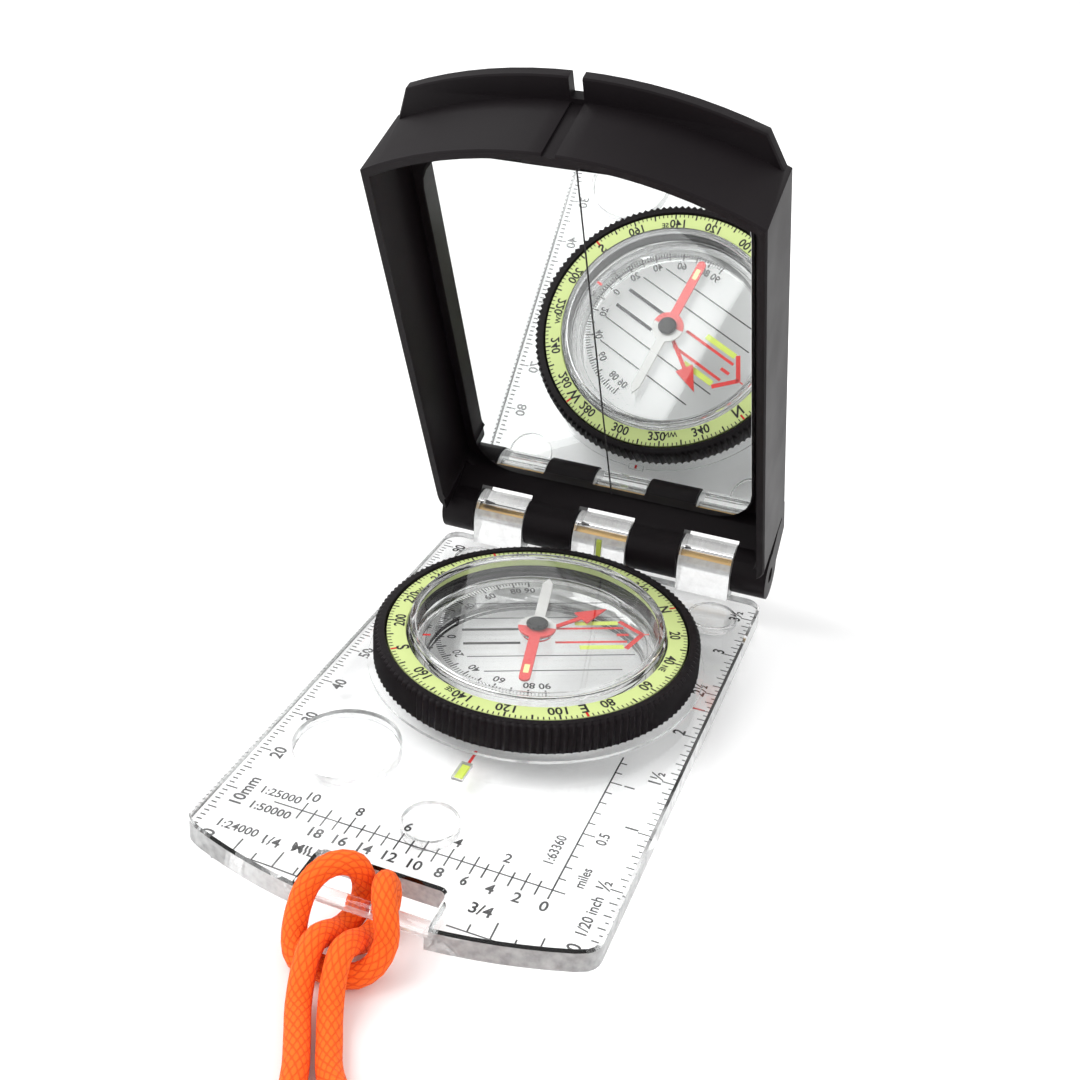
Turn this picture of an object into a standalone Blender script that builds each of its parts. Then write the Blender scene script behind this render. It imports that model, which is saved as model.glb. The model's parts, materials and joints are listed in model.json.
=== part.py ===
"""Folding sighting compass with a mirror cover, on a clear map-reading plate.

Every length below is in millimetres and every angle in degrees. The plate's own
frame has X across the plate, Y from the lanyard end towards the hinge, and Z up
from the table. The cover is drawn in its own frame on the hinge axis: X across,
V away from the hinge and W out of the mirror's face.
"""
import math

import bmesh
import bpy
from mathutils import Vector

MM = 0.001
FIT = 0.3                    # clearance between two pieces that touch

# Plate
PLATE_HALF_WIDTH = 32.0
PLATE_THICKNESS = 4.0
PLATE_TAIL = 7.1             # plate behind the dial
PLATE_FRONT_Y = -16.5        # middle of the curved front edge
PLATE_FRONT_RADIUS = 87.0
PLATE_CORNER_RADIUS = 3.0
PLATE_EDGE_CHAMFER = 0.4
FOOT_HEIGHT = 2.2            # plate's underside above the table
FOOT_RADIUS = 4.6
FRONT_FOOT_Y = 6.3
REAR_FOOT_X = 23.8
REAR_FOOT_INSET = 5.5        # from the plate's rear edge
LENS_X = -18.5
LENS_Y = 14.8
LENS_RADIUS = 8.4
LENS_CROWN = 0.7
INDEX_START_Y = 16.0
INDEX_LENGTH = 3.5
INDEX_WIDTH = 1.3
INDEX_DEPTH = 0.6

# Lanyard slot and the bar moulded across its mouth
SLOT_LEFT_X = -10.6
SLOT_RIGHT_X = 9.3
SLOT_REAR_Y = -8.3
SLOT_CORNER_RADIUS = 1.2
BAR_Y = -14.75
BAR_RISE = 2.8               # bar's axis above the plate's underside
BAR_RADIUS = 1.15
BAR_ROOT = 1.2               # how far each end runs into the plate

# Turning dial
DIAL_Y = 49.3
COLLAR_MARGIN = 0.9          # collar's edge outside the bezel
COLLAR_HEIGHT = 0.5
BEZEL_HEIGHT = 5.4
BEZEL_CHAMFER = 0.5
BEZEL_WALL = 2.0             # outside the figure ring's shelf
DIAL_SHELF_WIDTH = 3.9
DIAL_SHELF_DEPTH = 1.7
DIAL_RING_THICKNESS = 1.2
CUP_RADIUS = 22.2
CUP_WALL = 1.3
CUP_FLOOR_THICKNESS = 1.1
CUP_FLOOR_HEIGHT = 1.5       # floor's underside above the bezel's lower face
CUP_WALL_TOP = 5.9           # wall's top above the bezel's lower face
SPIGOT_STEP = 1.5            # the cup's wall stands this far outside its spigot
SPIGOT_WALL = 1.5
LID_THICKNESS = 0.8
LID_SKIRT = 1.0
RETAINER_THICKNESS = 0.7
RETAINER_WIDTH = 1.7
SPRING_OFFSET = 1.6          # spring's inner edge outside the capsule
SPRING_WIDTH = 1.4
SPRING_THICKNESS = 0.7

# Inside the capsule
DISC_MARGIN = 1.1            # between the disc's edge and the capsule's wall
DISC_THICKNESS = 0.3
PIVOT_RADIUS = 1.0
PIVOT_HEIGHT = 2.1
CLINO_THICKNESS = 0.3
CLINO_TIP = 15.0
CLINO_HALF_WIDTH = 1.9
CLINO_STEM_HALF_WIDTH = 0.4
CLINO_HEAD_START = 9.3
CLINO_HUB_RADIUS = 2.6
MAGNET_RADIUS = 3.0
MAGNET_THICKNESS = 0.3
NEEDLE_HALF_LENGTH = 16.0
NEEDLE_SHAFT_HALF_WIDTH = 0.95
NEEDLE_HUB_RADIUS = 3.3
NEEDLE_POINT_LENGTH = 1.9
NEEDLE_THICKNESS = 0.4
CAP_RADIUS = 1.9
CAP_THICKNESS = 0.7

# Hinge
HINGE_SETBACK = 1.3          # hinge axis behind the plate's rear edge
HINGE_ABOVE_PLATE = 5.05
PIN_RADIUS = 1.2
PIN_INSET = 1.0              # pin's end inside the cover's side
KNUCKLE_RADIUS = 4.3
KNUCKLE_CENTRES = (-20.7, 0.0, 20.7)
KNUCKLE_HALF_WIDTHS = (5.0, 5.3, 5.0)
BARREL_RADIUS = 4.6
SIGHT_BAR_WIDTH = 0.9
SIGHT_BAR_BELOW = 3.5        # the bar's recess below and above the pin's axis
SIGHT_BAR_ABOVE = 1.6
SIGHT_BAR_DEPTH = 1.2
INDEX_BLOCK_HALF_WIDTH = 1.5
INDEX_BLOCK_GAP = 0.4        # behind the bezel
INDEX_BLOCK_LENGTH = 1.0
INDEX_BLOCK_HEIGHT = 0.9     # above the plate's top
KNUCKLE_HEEL = 0.9           # how far the knuckle's foot stands behind the plate

# Cover, in its own frame
COVER_OPEN_ANGLE = 66.4      # from shut over the plate
COVER_HALF_WIDTH = 32.5
COVER_WALL = 1.5
COVER_FLOOR = 2.1
COVER_RIM_W = 4.75
COVER_DEPTH = 15.4
COVER_FOOT_V = 3.1
COVER_FOOT_WALL = 3.1
FOOT_STEP = 2.85             # low foot wall's top above the cover's floor
COVER_TOP_V = 95.3
COVER_TOP_RADIUS = 67.5
COVER_FOOT_CORNER = 4.0
LIP_RISE = 4.4               # above the cover's top
LIP_TOP_RADIUS = 74.0
LIP_OVERLAP = 6.0            # how far the lip's plate runs down over the cover's floor
LIP_SHOULDER_INSET = 3.3
LIP_START_INSET = 0.6
LIP_START_DROP = 8.5         # below the cover's top
NOTCH_WIDTH = 2.2
NOTCH_FOOT_RISE = 0.6        # above the cover's top
GROOVE_DEPTH = 0.5
TAB_HALF_WIDTH = 4.5
TAB_DROP = 1.0
TAB_DEPTH = 2.0
PAD_INSET = 2.5
PAD_FOOT_V = 12.0
PAD_TOP_V = 45.0
PAD_HEIGHT = 4.0
MIRROR_SIDE_MARGIN = 3.0     # to the hollow's side wall
MIRROR_FOOT_MARGIN = 0.3     # to the hollow's lower wall
MIRROR_TOP_DROP = 10.3       # below the cover's top
MIRROR_THICKNESS = 2.0
MIRROR_CORNER_RADIUS = 8.5
MIRROR_PAD_THICKNESS = 0.5
MIRROR_PAD_MARGIN = 2.0

# Directions on the dial, clockwise from the sighting line
DIAL_NORTH = 50.6
ARROW_DIRECTION = 63.8
NEEDLE_DIRECTION = 346.8
CLINO_DIRECTION = 34.5

# Lanyard
CORD_DIAMETER = 3.5
CORD_SPACING = 7.0           # widest step between the tube's points
COIL_X = 25.0
COIL_Y = -69.0
COIL_INNER_RADIUS = 13.9
COIL_OUTER_RADIUS = 25.4
COIL_HEIGHT = 7.2
KNOT_RADIUS = 4.8
KNOT_HEIGHT = 7.0
CORD_LEFT = (
    (-3.4, -23.7, 1.8), (-4.8, -23.7, 1.8), (-6.6, -22.6, 2.0), (-7.8, -20.6, 3.2),
    (-8.2, -18.5, 5.5), (-7.7, -16.7, 8.1), (-6.3, -14.8, 9.8), (-4.4, -13.2, 10.2),
    (-2.8, -12.1, 9.3), (-2.1, -11.6, 7.5), (-2.0, -11.2, 5.2), (-2.2, -12.1, 2.6),
    (-2.6, -14.8, 1.76), (-3.0, -17.4, 2.3), (-3.2, -20.2, 4.2), (-3.2, -23.6, 5.7),
    (-2.6, -27.2, 4.3), (-1.4, -30.8, 2.2), (0.6, -34.6, 1.8), (3.1, -39.5, 1.8),
    (4.5, -44.4, 1.8), (3.8, -49.2, 1.8), (2.2, -53.2, 1.8),
)
CORD_RIGHT = (
    (-3.0, -23.7, 1.8), (0.4, -23.7, 1.8), (2.9, -23.0, 1.8), (4.6, -21.1, 2.6),
    (5.2, -19.0, 4.6), (4.6, -17.7, 7.3), (3.2, -15.6, 9.0), (2.3, -13.5, 9.1),
    (1.9, -12.0, 7.8), (1.9, -11.2, 5.4), (1.7, -12.1, 2.6), (1.4, -14.8, 1.76),
    (1.1, -17.4, 2.3), (0.9, -20.2, 4.2), (1.0, -23.6, 5.7), (1.7, -27.0, 4.3),
    (3.0, -30.4, 2.2), (4.8, -33.9, 1.8), (7.0, -37.9, 1.8), (10.2, -41.2, 2.7),
    (14.3, -43.1, 4.3),
)

# Sizes and places that follow from the ones above
SPIGOT_RADIUS = CUP_RADIUS - SPIGOT_STEP
DISC_RADIUS = CUP_RADIUS - CUP_WALL - DISC_MARGIN
SPRING_INNER_RADIUS = CUP_RADIUS + SPRING_OFFSET
DIAL_SHELF_RADIUS = CUP_RADIUS + DIAL_SHELF_WIDTH
BEZEL_RADIUS = DIAL_SHELF_RADIUS + BEZEL_WALL
COLLAR_RADIUS = BEZEL_RADIUS + COLLAR_MARGIN
INDEX_BLOCK_START_Y = DIAL_Y + BEZEL_RADIUS + INDEX_BLOCK_GAP
PLATE_REAR_Y = DIAL_Y + BEZEL_RADIUS + PLATE_TAIL
REAR_FOOT_Y = PLATE_REAR_Y - REAR_FOOT_INSET
HINGE_Y = PLATE_REAR_Y + HINGE_SETBACK
PIN_HALF_LENGTH = COVER_HALF_WIDTH - PIN_INSET
LIP_TOP_V = COVER_TOP_V + LIP_RISE
LIP_SHOULDER_X = COVER_HALF_WIDTH - LIP_SHOULDER_INSET
LIP_START_X = COVER_HALF_WIDTH - LIP_START_INSET
LIP_START_V = COVER_TOP_V - LIP_START_DROP
NOTCH_FOOT_V = COVER_TOP_V + NOTCH_FOOT_RISE
PAD_HALF_WIDTH = COVER_HALF_WIDTH - PAD_INSET
MIRROR_HALF_WIDTH = COVER_HALF_WIDTH - COVER_WALL - MIRROR_SIDE_MARGIN
MIRROR_FOOT_V = COVER_FOOT_V + COVER_FOOT_WALL + MIRROR_FOOT_MARGIN
MIRROR_TOP_V = COVER_TOP_V - MIRROR_TOP_DROP
PLATE_BOTTOM = FOOT_HEIGHT
PLATE_TOP = PLATE_BOTTOM + PLATE_THICKNESS
BAR_Z = PLATE_BOTTOM + BAR_RISE
COLLAR_TOP = PLATE_TOP + COLLAR_HEIGHT
BEZEL_BOTTOM = COLLAR_TOP + FIT
BEZEL_TOP = BEZEL_BOTTOM + BEZEL_HEIGHT
SHELF_Z = BEZEL_TOP - DIAL_SHELF_DEPTH
BORE_RADIUS = CUP_RADIUS + FIT
WELL_RADIUS = SPIGOT_RADIUS + FIT
CUP_FLOOR_BOTTOM = BEZEL_BOTTOM + CUP_FLOOR_HEIGHT
CUP_FLOOR_TOP = CUP_FLOOR_BOTTOM + CUP_FLOOR_THICKNESS
CUP_TOP = BEZEL_BOTTOM + CUP_WALL_TOP
RETAINER_SEAT = PLATE_BOTTOM + RETAINER_THICKNESS + FIT + 0.2
DISC_BOTTOM = CUP_FLOOR_TOP + FIT
PIVOT_BOTTOM = DISC_BOTTOM
CLINO_BOTTOM = DISC_BOTTOM + DISC_THICKNESS + 0.4
MAGNET_BOTTOM = CLINO_BOTTOM + CLINO_THICKNESS + FIT
NEEDLE_BOTTOM = MAGNET_BOTTOM + MAGNET_THICKNESS + FIT
CAP_BOTTOM = NEEDLE_BOTTOM + NEEDLE_THICKNESS + FIT
HINGE_Z = PLATE_TOP + HINGE_ABOVE_PLATE
COVER_BACK_W = COVER_RIM_W - COVER_DEPTH
COVER_FLOOR_W = COVER_BACK_W + COVER_FLOOR
MIRROR_PAD_W = COVER_FLOOR_W + FIT
MIRROR_BACK_W = MIRROR_PAD_W + MIRROR_PAD_THICKNESS + FIT


def arc(cx, cy, radius, start, end, steps):
    """Points along an arc, from one angle to another."""
    points = []
    for i in range(steps + 1):
        a = math.radians(start + (end - start) * i / steps)
        points.append((cx + radius * math.cos(a), cy + radius * math.sin(a)))
    return points


def rounded_box(x0, x1, y0, y1, radius, steps=5):
    """Outline of a rectangle with round corners."""
    outline = arc(x1 - radius, y0 + radius, radius, -90, 0, steps)
    outline += arc(x1 - radius, y1 - radius, radius, 0, 90, steps)
    outline += arc(x0 + radius, y1 - radius, radius, 90, 180, steps)
    outline += arc(x0 + radius, y0 + radius, radius, 180, 270, steps)
    return outline


def plastic(name, color, roughness, metallic=0.0, clear=0.0):
    """One Principled material."""
    mat = bpy.data.materials.new(name)
    mat.use_nodes = True
    shader = mat.node_tree.nodes["Principled BSDF"]
    shader.inputs["Base Color"].default_value = (*color, 1.0)
    shader.inputs["Roughness"].default_value = roughness
    shader.inputs["Metallic"].default_value = metallic
    shader.inputs["Transmission Weight"].default_value = clear
    mat.diffuse_color = (*color, 1.0)
    return mat


def empty(name, parent=None, location=(0, 0, 0), rotation=(0, 0, 0)):
    """A frame that pieces hang on; rotation in degrees."""
    ob = bpy.data.objects.new(name, None)
    bpy.context.collection.objects.link(ob)
    ob.location = Vector(location) * MM
    ob.rotation_euler = [math.radians(a) for a in rotation]
    ob.parent = parent
    return ob


def solid(name, bm, mat, parent):
    """Turn a mesh drawn in millimetres into a smooth-shaded object."""
    bmesh.ops.remove_doubles(bm, verts=bm.verts, dist=0.0005)
    bmesh.ops.scale(bm, vec=(MM, MM, MM), verts=bm.verts)
    bmesh.ops.recalc_face_normals(bm, faces=bm.faces)
    mesh = bpy.data.meshes.new(name)
    bm.to_mesh(mesh)
    bm.free()
    mesh.shade_smooth()
    mesh.set_sharp_from_angle(angle=math.radians(32))
    ob = bpy.data.objects.new(name, mesh)
    bpy.context.collection.objects.link(ob)
    ob.parent = parent
    if mat is not None:
        mesh.materials.append(mat)
    return ob


def turned(name, profile, segments, mat, parent, center=(0, 0)):
    """A closed (radius, height) profile spun about a vertical axis."""
    bm = bmesh.new()
    verts = [bm.verts.new((center[0] + r, center[1], z)) for r, z in profile]
    edges = [bm.edges.new((verts[i], verts[(i + 1) % len(verts)])) for i in range(len(verts))]
    edges = [e for e in edges if max(v.co.x - center[0] for v in e.verts) > 1e-6]
    bmesh.ops.spin(bm, geom=verts + edges, cent=(center[0], center[1], 0), axis=(0, 0, 1),
                   angle=math.tau, steps=segments, use_merge=True)
    loose = [e for e in bm.edges if not e.link_faces]
    bmesh.ops.delete(bm, geom=loose, context="EDGES")
    return solid(name, bm, mat, parent)


def prism(name, outline, low, high, mat, parent, chamfer=0.0):
    """An outline in the XY plane given a thickness, with its rims chamfered."""
    bm = bmesh.new()
    face = bm.faces.new([bm.verts.new((x, y, low)) for x, y in outline])
    grown = bmesh.ops.extrude_face_region(bm, geom=[face])
    top = [g for g in grown["geom"] if isinstance(g, bmesh.types.BMVert)]
    bmesh.ops.translate(bm, vec=(0, 0, high - low), verts=top)
    if chamfer:
        rims = [e for e in bm.edges if abs(e.verts[0].co.z - e.verts[1].co.z) < 1e-6]
        bmesh.ops.bevel(bm, geom=rims, offset=chamfer, segments=1, affect="EDGES")
    return solid(name, bm, mat, parent)


def across(name, outline, x0, x1, mat, parent):
    """An outline in the YZ plane extruded along X."""
    bm = bmesh.new()
    face = bm.faces.new([bm.verts.new((x0, y, z)) for y, z in outline])
    grown = bmesh.ops.extrude_face_region(bm, geom=[face])
    far = [g for g in grown["geom"] if isinstance(g, bmesh.types.BMVert)]
    bmesh.ops.translate(bm, vec=(x1 - x0, 0, 0), verts=far)
    return solid(name, bm, mat, parent)


def rod(name, y, z, radius, x0, x1, segments, mat, parent):
    """A round rod along X."""
    return across(name, arc(y, z, radius, 0, 360 - 360 / segments, segments - 1), x0, x1, mat, parent)


def box(name, low, high, mat, parent):
    """A plain block between two corners."""
    outline = [(low[0], low[1]), (high[0], low[1]), (high[0], high[1]), (low[0], high[1])]
    return prism(name, outline, low[2], high[2], mat, parent)


def combine(target, tool, operation):
    """Cut a hidden tool from the target, or join it on."""
    tool.hide_render = True
    tool.display_type = "WIRE"
    mod = target.modifiers.new(f"{operation.title()} {tool.name}", "BOOLEAN")
    mod.operation = operation
    mod.solver = "EXACT"
    mod.object = tool


def circle(radius, segments, cx=0.0, cy=0.0):
    """Outline of a circle."""
    return arc(cx, cy, radius, 0, 360 - 360 / segments, segments - 1)


def front_edge_y(x):
    """The curved front edge of the plate."""
    return PLATE_FRONT_Y + PLATE_FRONT_RADIUS - math.sqrt(PLATE_FRONT_RADIUS ** 2 - x * x)


def plate_outline():
    """The plate with its curved front edge and the lanyard slot open to it."""
    r = PLATE_CORNER_RADIUS
    w = PLATE_HALF_WIDTH
    corner_y = front_edge_y(w - r) + r + 0.3
    outline = []
    for i in range(7):
        x = SLOT_RIGHT_X + (w - r - SLOT_RIGHT_X) * i / 6
        outline.append((x, front_edge_y(x)))
    outline += arc(w - r, corner_y, r, -70, 0, 4)
    outline += arc(w - r, PLATE_REAR_Y - r, r, 0, 90, 5)
    outline += arc(-w + r, PLATE_REAR_Y - r, r, 90, 180, 5)
    outline += arc(-w + r, corner_y, r, 180, 250, 4)
    for i in range(7):
        x = -w + r + (SLOT_LEFT_X + w - r) * i / 6
        outline.append((x, front_edge_y(x)))
    s = SLOT_CORNER_RADIUS
    outline += arc(SLOT_LEFT_X + s, SLOT_REAR_Y - s, s, 180, 90, 4)
    outline += arc(SLOT_RIGHT_X - s, SLOT_REAR_Y - s, s, 90, 0, 4)
    return outline


def make_plate(clear, base):
    """Clear plate with its collar, lanyard bar, hinge knuckles and openings."""
    plate = prism("baseplate", plate_outline(), PLATE_BOTTOM, PLATE_TOP, clear, base,
                  PLATE_EDGE_CHAMFER)
    collar = prism("collar_tool", circle(COLLAR_RADIUS, 72, 0, DIAL_Y), PLATE_TOP - 1.0,
                   COLLAR_TOP, None, base)
    combine(plate, collar, "UNION")
    bar = rod("bar_tool", BAR_Y, BAR_Z, BAR_RADIUS, SLOT_LEFT_X - BAR_ROOT,
              SLOT_RIGHT_X + BAR_ROOT, 20, None, base)
    combine(plate, bar, "UNION")
    for i, (x, half) in enumerate(zip(KNUCKLE_CENTRES, KNUCKLE_HALF_WIDTHS)):
        post = across(f"post_tool_{i}", knuckle_outline(), x - half, x + half, None, base)
        combine(plate, post, "UNION")
    low = (-INDEX_BLOCK_HALF_WIDTH, INDEX_BLOCK_START_Y, PLATE_TOP - 1.0)
    high = (INDEX_BLOCK_HALF_WIDTH, INDEX_BLOCK_START_Y + INDEX_BLOCK_LENGTH,
            PLATE_TOP + INDEX_BLOCK_HEIGHT)
    combine(plate, box("index_block_tool", low, high, None, base), "UNION")
    well = prism("well_tool", circle(WELL_RADIUS, 72, 0, DIAL_Y), PLATE_BOTTOM - 1,
                 COLLAR_TOP + 1, None, base)
    combine(plate, well, "DIFFERENCE")
    seat_radius = WELL_RADIUS + RETAINER_WIDTH + FIT
    seat = prism("seat_tool", circle(seat_radius, 72, 0, DIAL_Y), PLATE_BOTTOM - 1,
                 RETAINER_SEAT, None, base)
    combine(plate, seat, "DIFFERENCE")
    lens_hole = prism("lens_tool", circle(LENS_RADIUS + FIT, 48, LENS_X, LENS_Y),
                      PLATE_BOTTOM - 1, PLATE_TOP + 1, None, base)
    combine(plate, lens_hole, "DIFFERENCE")
    half = INDEX_WIDTH / 2 + FIT
    low = (-half, INDEX_START_Y - FIT, PLATE_BOTTOM - 1)
    high = (half, INDEX_START_Y + INDEX_LENGTH + FIT, PLATE_BOTTOM + INDEX_DEPTH + 2 * FIT)
    combine(plate, box("index_tool", low, high, None, base), "DIFFERENCE")
    pin_hole = rod("pin_tool", HINGE_Y, HINGE_Z, PIN_RADIUS + FIT, -COVER_HALF_WIDTH - 1,
                   COVER_HALF_WIDTH + 1, 24, None, base)
    combine(plate, pin_hole, "DIFFERENCE")
    half = SIGHT_BAR_WIDTH / 2 + FIT
    front = HINGE_Y - KNUCKLE_RADIUS
    low = (-half, front - 1, HINGE_Z - SIGHT_BAR_BELOW)
    high = (half, front + SIGHT_BAR_DEPTH, HINGE_Z + SIGHT_BAR_ABOVE)
    combine(plate, box("sight_slot_tool", low, high, None, base), "DIFFERENCE")
    return plate


def knuckle_outline():
    """Side view of one clear knuckle: a barrel on a foot that grows from the plate."""
    front = HINGE_Y - KNUCKLE_RADIUS
    outline = arc(HINGE_Y, HINGE_Z, KNUCKLE_RADIUS, -35, 180, 14)
    outline += [(front, PLATE_BOTTOM + PLATE_THICKNESS / 2)]
    outline += [(PLATE_REAR_Y - 0.5, PLATE_BOTTOM + PLATE_THICKNESS / 2)]
    outline += [(PLATE_REAR_Y + KNUCKLE_HEEL, PLATE_TOP - PLATE_EDGE_CHAMFER)]
    return outline


def make_feet(rubber, base):
    """Three soft feet under the plate."""
    r = FOOT_RADIUS
    top = PLATE_BOTTOM - FIT
    profile = [(0, 0), (r - 0.5, 0), (r, 0.5), (r, top), (0, top)]
    turned("front_foot", profile, 32, rubber, base, (0, FRONT_FOOT_Y))
    turned("rear_left_foot", profile, 32, rubber, base, (-REAR_FOOT_X, REAR_FOOT_Y))
    turned("rear_right_foot", profile, 32, rubber, base, (REAR_FOOT_X, REAR_FOOT_Y))


def make_lens(clear, base):
    """Plano-convex magnifier in its hole in the plate."""
    r = LENS_RADIUS
    low = PLATE_BOTTOM + 0.3
    rim = PLATE_TOP - 0.5
    crown_radius = (r * r + LENS_CROWN ** 2) / (2 * LENS_CROWN)
    profile = [(0, low), (r, low), (r, rim)]
    for i in range(1, 6):
        x = r * (1 - i / 5)
        profile.append((x, rim + LENS_CROWN - crown_radius + math.sqrt(crown_radius ** 2 - x * x)))
    turned("magnifier_lens", profile, 48, clear, base, (LENS_X, LENS_Y))


def make_marks(lume, base):
    """Glowing bars: one set into the plate's underside, one into the middle knuckle."""
    half = INDEX_WIDTH / 2
    low = (-half, INDEX_START_Y, PLATE_BOTTOM + FIT)
    high = (half, INDEX_START_Y + INDEX_LENGTH, PLATE_BOTTOM + FIT + INDEX_DEPTH)
    box("near_index_lume", low, high, lume, base)
    half = SIGHT_BAR_WIDTH / 2
    front = HINGE_Y - KNUCKLE_RADIUS
    low = (-half, front + 0.25, HINGE_Z - SIGHT_BAR_BELOW + FIT)
    high = (half, front + SIGHT_BAR_DEPTH - FIT, HINGE_Z + SIGHT_BAR_ABOVE - FIT)
    box("far_index_lume", low, high, lume, base)


def make_spring(steel, base):
    """Flat ring that holds the dial where it is turned to."""
    inner = SPRING_INNER_RADIUS
    outer = inner + SPRING_WIDTH
    low = COLLAR_TOP + FIT
    high = low + SPRING_THICKNESS
    profile = [(inner, low), (outer, low), (outer, high), (inner, high)]
    turned("detent_spring", profile, 64, steel, base, (0, DIAL_Y))


def make_pin(brass, base):
    """Hinge pin through every knuckle and barrel."""
    rod("hinge_pin", HINGE_Y, HINGE_Z, PIN_RADIUS, -PIN_HALF_LENGTH, PIN_HALF_LENGTH, 20, brass,
        base)


def make_dial(black, dial_print, clear, steel, dial):
    """Bezel, figure ring, capsule, its lid, its retainer and its pivot pin."""
    c = BEZEL_CHAMFER
    recess_in = SPRING_INNER_RADIUS - FIT
    recess_out = SPRING_INNER_RADIUS + SPRING_WIDTH + FIT
    recess_top = COLLAR_TOP + FIT + SPRING_THICKNESS + FIT
    profile = [
        (BORE_RADIUS, BEZEL_BOTTOM), (recess_in, BEZEL_BOTTOM), (recess_in, recess_top),
        (recess_out, recess_top), (recess_out, BEZEL_BOTTOM), (BEZEL_RADIUS - c, BEZEL_BOTTOM),
        (BEZEL_RADIUS, BEZEL_BOTTOM + c), (BEZEL_RADIUS, BEZEL_TOP - c),
        (BEZEL_RADIUS - c, BEZEL_TOP), (DIAL_SHELF_RADIUS, BEZEL_TOP),
        (DIAL_SHELF_RADIUS, SHELF_Z), (BORE_RADIUS, SHELF_Z),
    ]
    turned("bezel", profile, 72, black, dial)
    low = SHELF_Z + FIT
    high = low + DIAL_RING_THICKNESS
    profile = [(BORE_RADIUS, low), (DIAL_SHELF_RADIUS - FIT, low),
               (DIAL_SHELF_RADIUS - FIT, high), (BORE_RADIUS, high)]
    turned("dial_ring", profile, 72, dial_print, dial)
    spigot_bottom = PLATE_BOTTOM + FIT
    profile = [
        (0, CUP_FLOOR_BOTTOM), (SPIGOT_RADIUS - SPIGOT_WALL, CUP_FLOOR_BOTTOM),
        (SPIGOT_RADIUS - SPIGOT_WALL, spigot_bottom), (SPIGOT_RADIUS, spigot_bottom),
        (SPIGOT_RADIUS, CUP_FLOOR_BOTTOM - 0.3), (CUP_RADIUS, CUP_FLOOR_BOTTOM - 0.3),
        (CUP_RADIUS, CUP_TOP), (CUP_RADIUS - CUP_WALL, CUP_TOP),
        (CUP_RADIUS - CUP_WALL, CUP_FLOOR_TOP), (0, CUP_FLOOR_TOP),
    ]
    turned("capsule_cup", profile, 64, clear, dial)
    skirt_bottom = CUP_TOP + FIT
    lid_bottom = CAP_BOTTOM + CAP_THICKNESS + FIT
    r = CUP_RADIUS - FIT
    profile = [(0, lid_bottom), (r - LID_SKIRT, lid_bottom), (r - LID_SKIRT, skirt_bottom),
               (r, skirt_bottom), (r, lid_bottom + LID_THICKNESS - 0.3),
               (r - 0.3, lid_bottom + LID_THICKNESS), (0, lid_bottom + LID_THICKNESS)]
    turned("capsule_lid", profile, 64, clear, dial)
    low = RETAINER_SEAT - FIT - RETAINER_THICKNESS
    high = RETAINER_SEAT - FIT
    inner = SPIGOT_RADIUS + FIT
    outer = inner + RETAINER_WIDTH
    profile = [(inner, low), (outer, low), (outer, high), (inner, high)]
    turned("capsule_retainer", profile, 64, black, dial)
    top = PIVOT_BOTTOM + PIVOT_HEIGHT
    profile = [(0, PIVOT_BOTTOM), (PIVOT_RADIUS, PIVOT_BOTTOM), (PIVOT_RADIUS, top - 0.6),
               (0.25, top), (0, top)]
    turned("pivot_pin", profile, 16, steel, dial)


def with_hole(outline_solid, name, radius, low, high, parent):
    """Cut the pivot's hole through a flat piece."""
    hole = prism(name, circle(radius, 20), low - 1, high + 1, None, parent)
    combine(outline_solid, hole, "DIFFERENCE")


def make_orienting_disc(clear, turn):
    """Clear printed disc that is turned by hand to set the declination."""
    low = DISC_BOTTOM
    high = low + DISC_THICKNESS
    hole = PIVOT_RADIUS + FIT
    profile = [(hole, low), (DISC_RADIUS, low), (DISC_RADIUS, high), (hole, high)]
    turned("orienting_disc", profile, 64, clear, turn)


def make_clinometer(red, turn):
    """Swinging pointer that hangs plumb when the compass is held on edge."""
    low = CLINO_BOTTOM
    high = low + CLINO_THICKNESS
    hub = CLINO_HUB_RADIUS
    spread = math.degrees(math.asin(CLINO_STEM_HALF_WIDTH / hub))
    outline = arc(0, 0, hub, 90 + spread, 450 - spread, 24)
    stem = CLINO_STEM_HALF_WIDTH
    head = CLINO_HEAD_START
    outline += [(stem, head), (CLINO_HALF_WIDTH, head), (0, CLINO_TIP)]
    outline += [(-CLINO_HALF_WIDTH, head), (-stem, head)]
    pointer = prism("clinometer_pointer", outline, low, high, red, turn)
    with_hole(pointer, "clinometer_hole_tool", PIVOT_RADIUS + FIT, low, high, turn)


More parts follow.
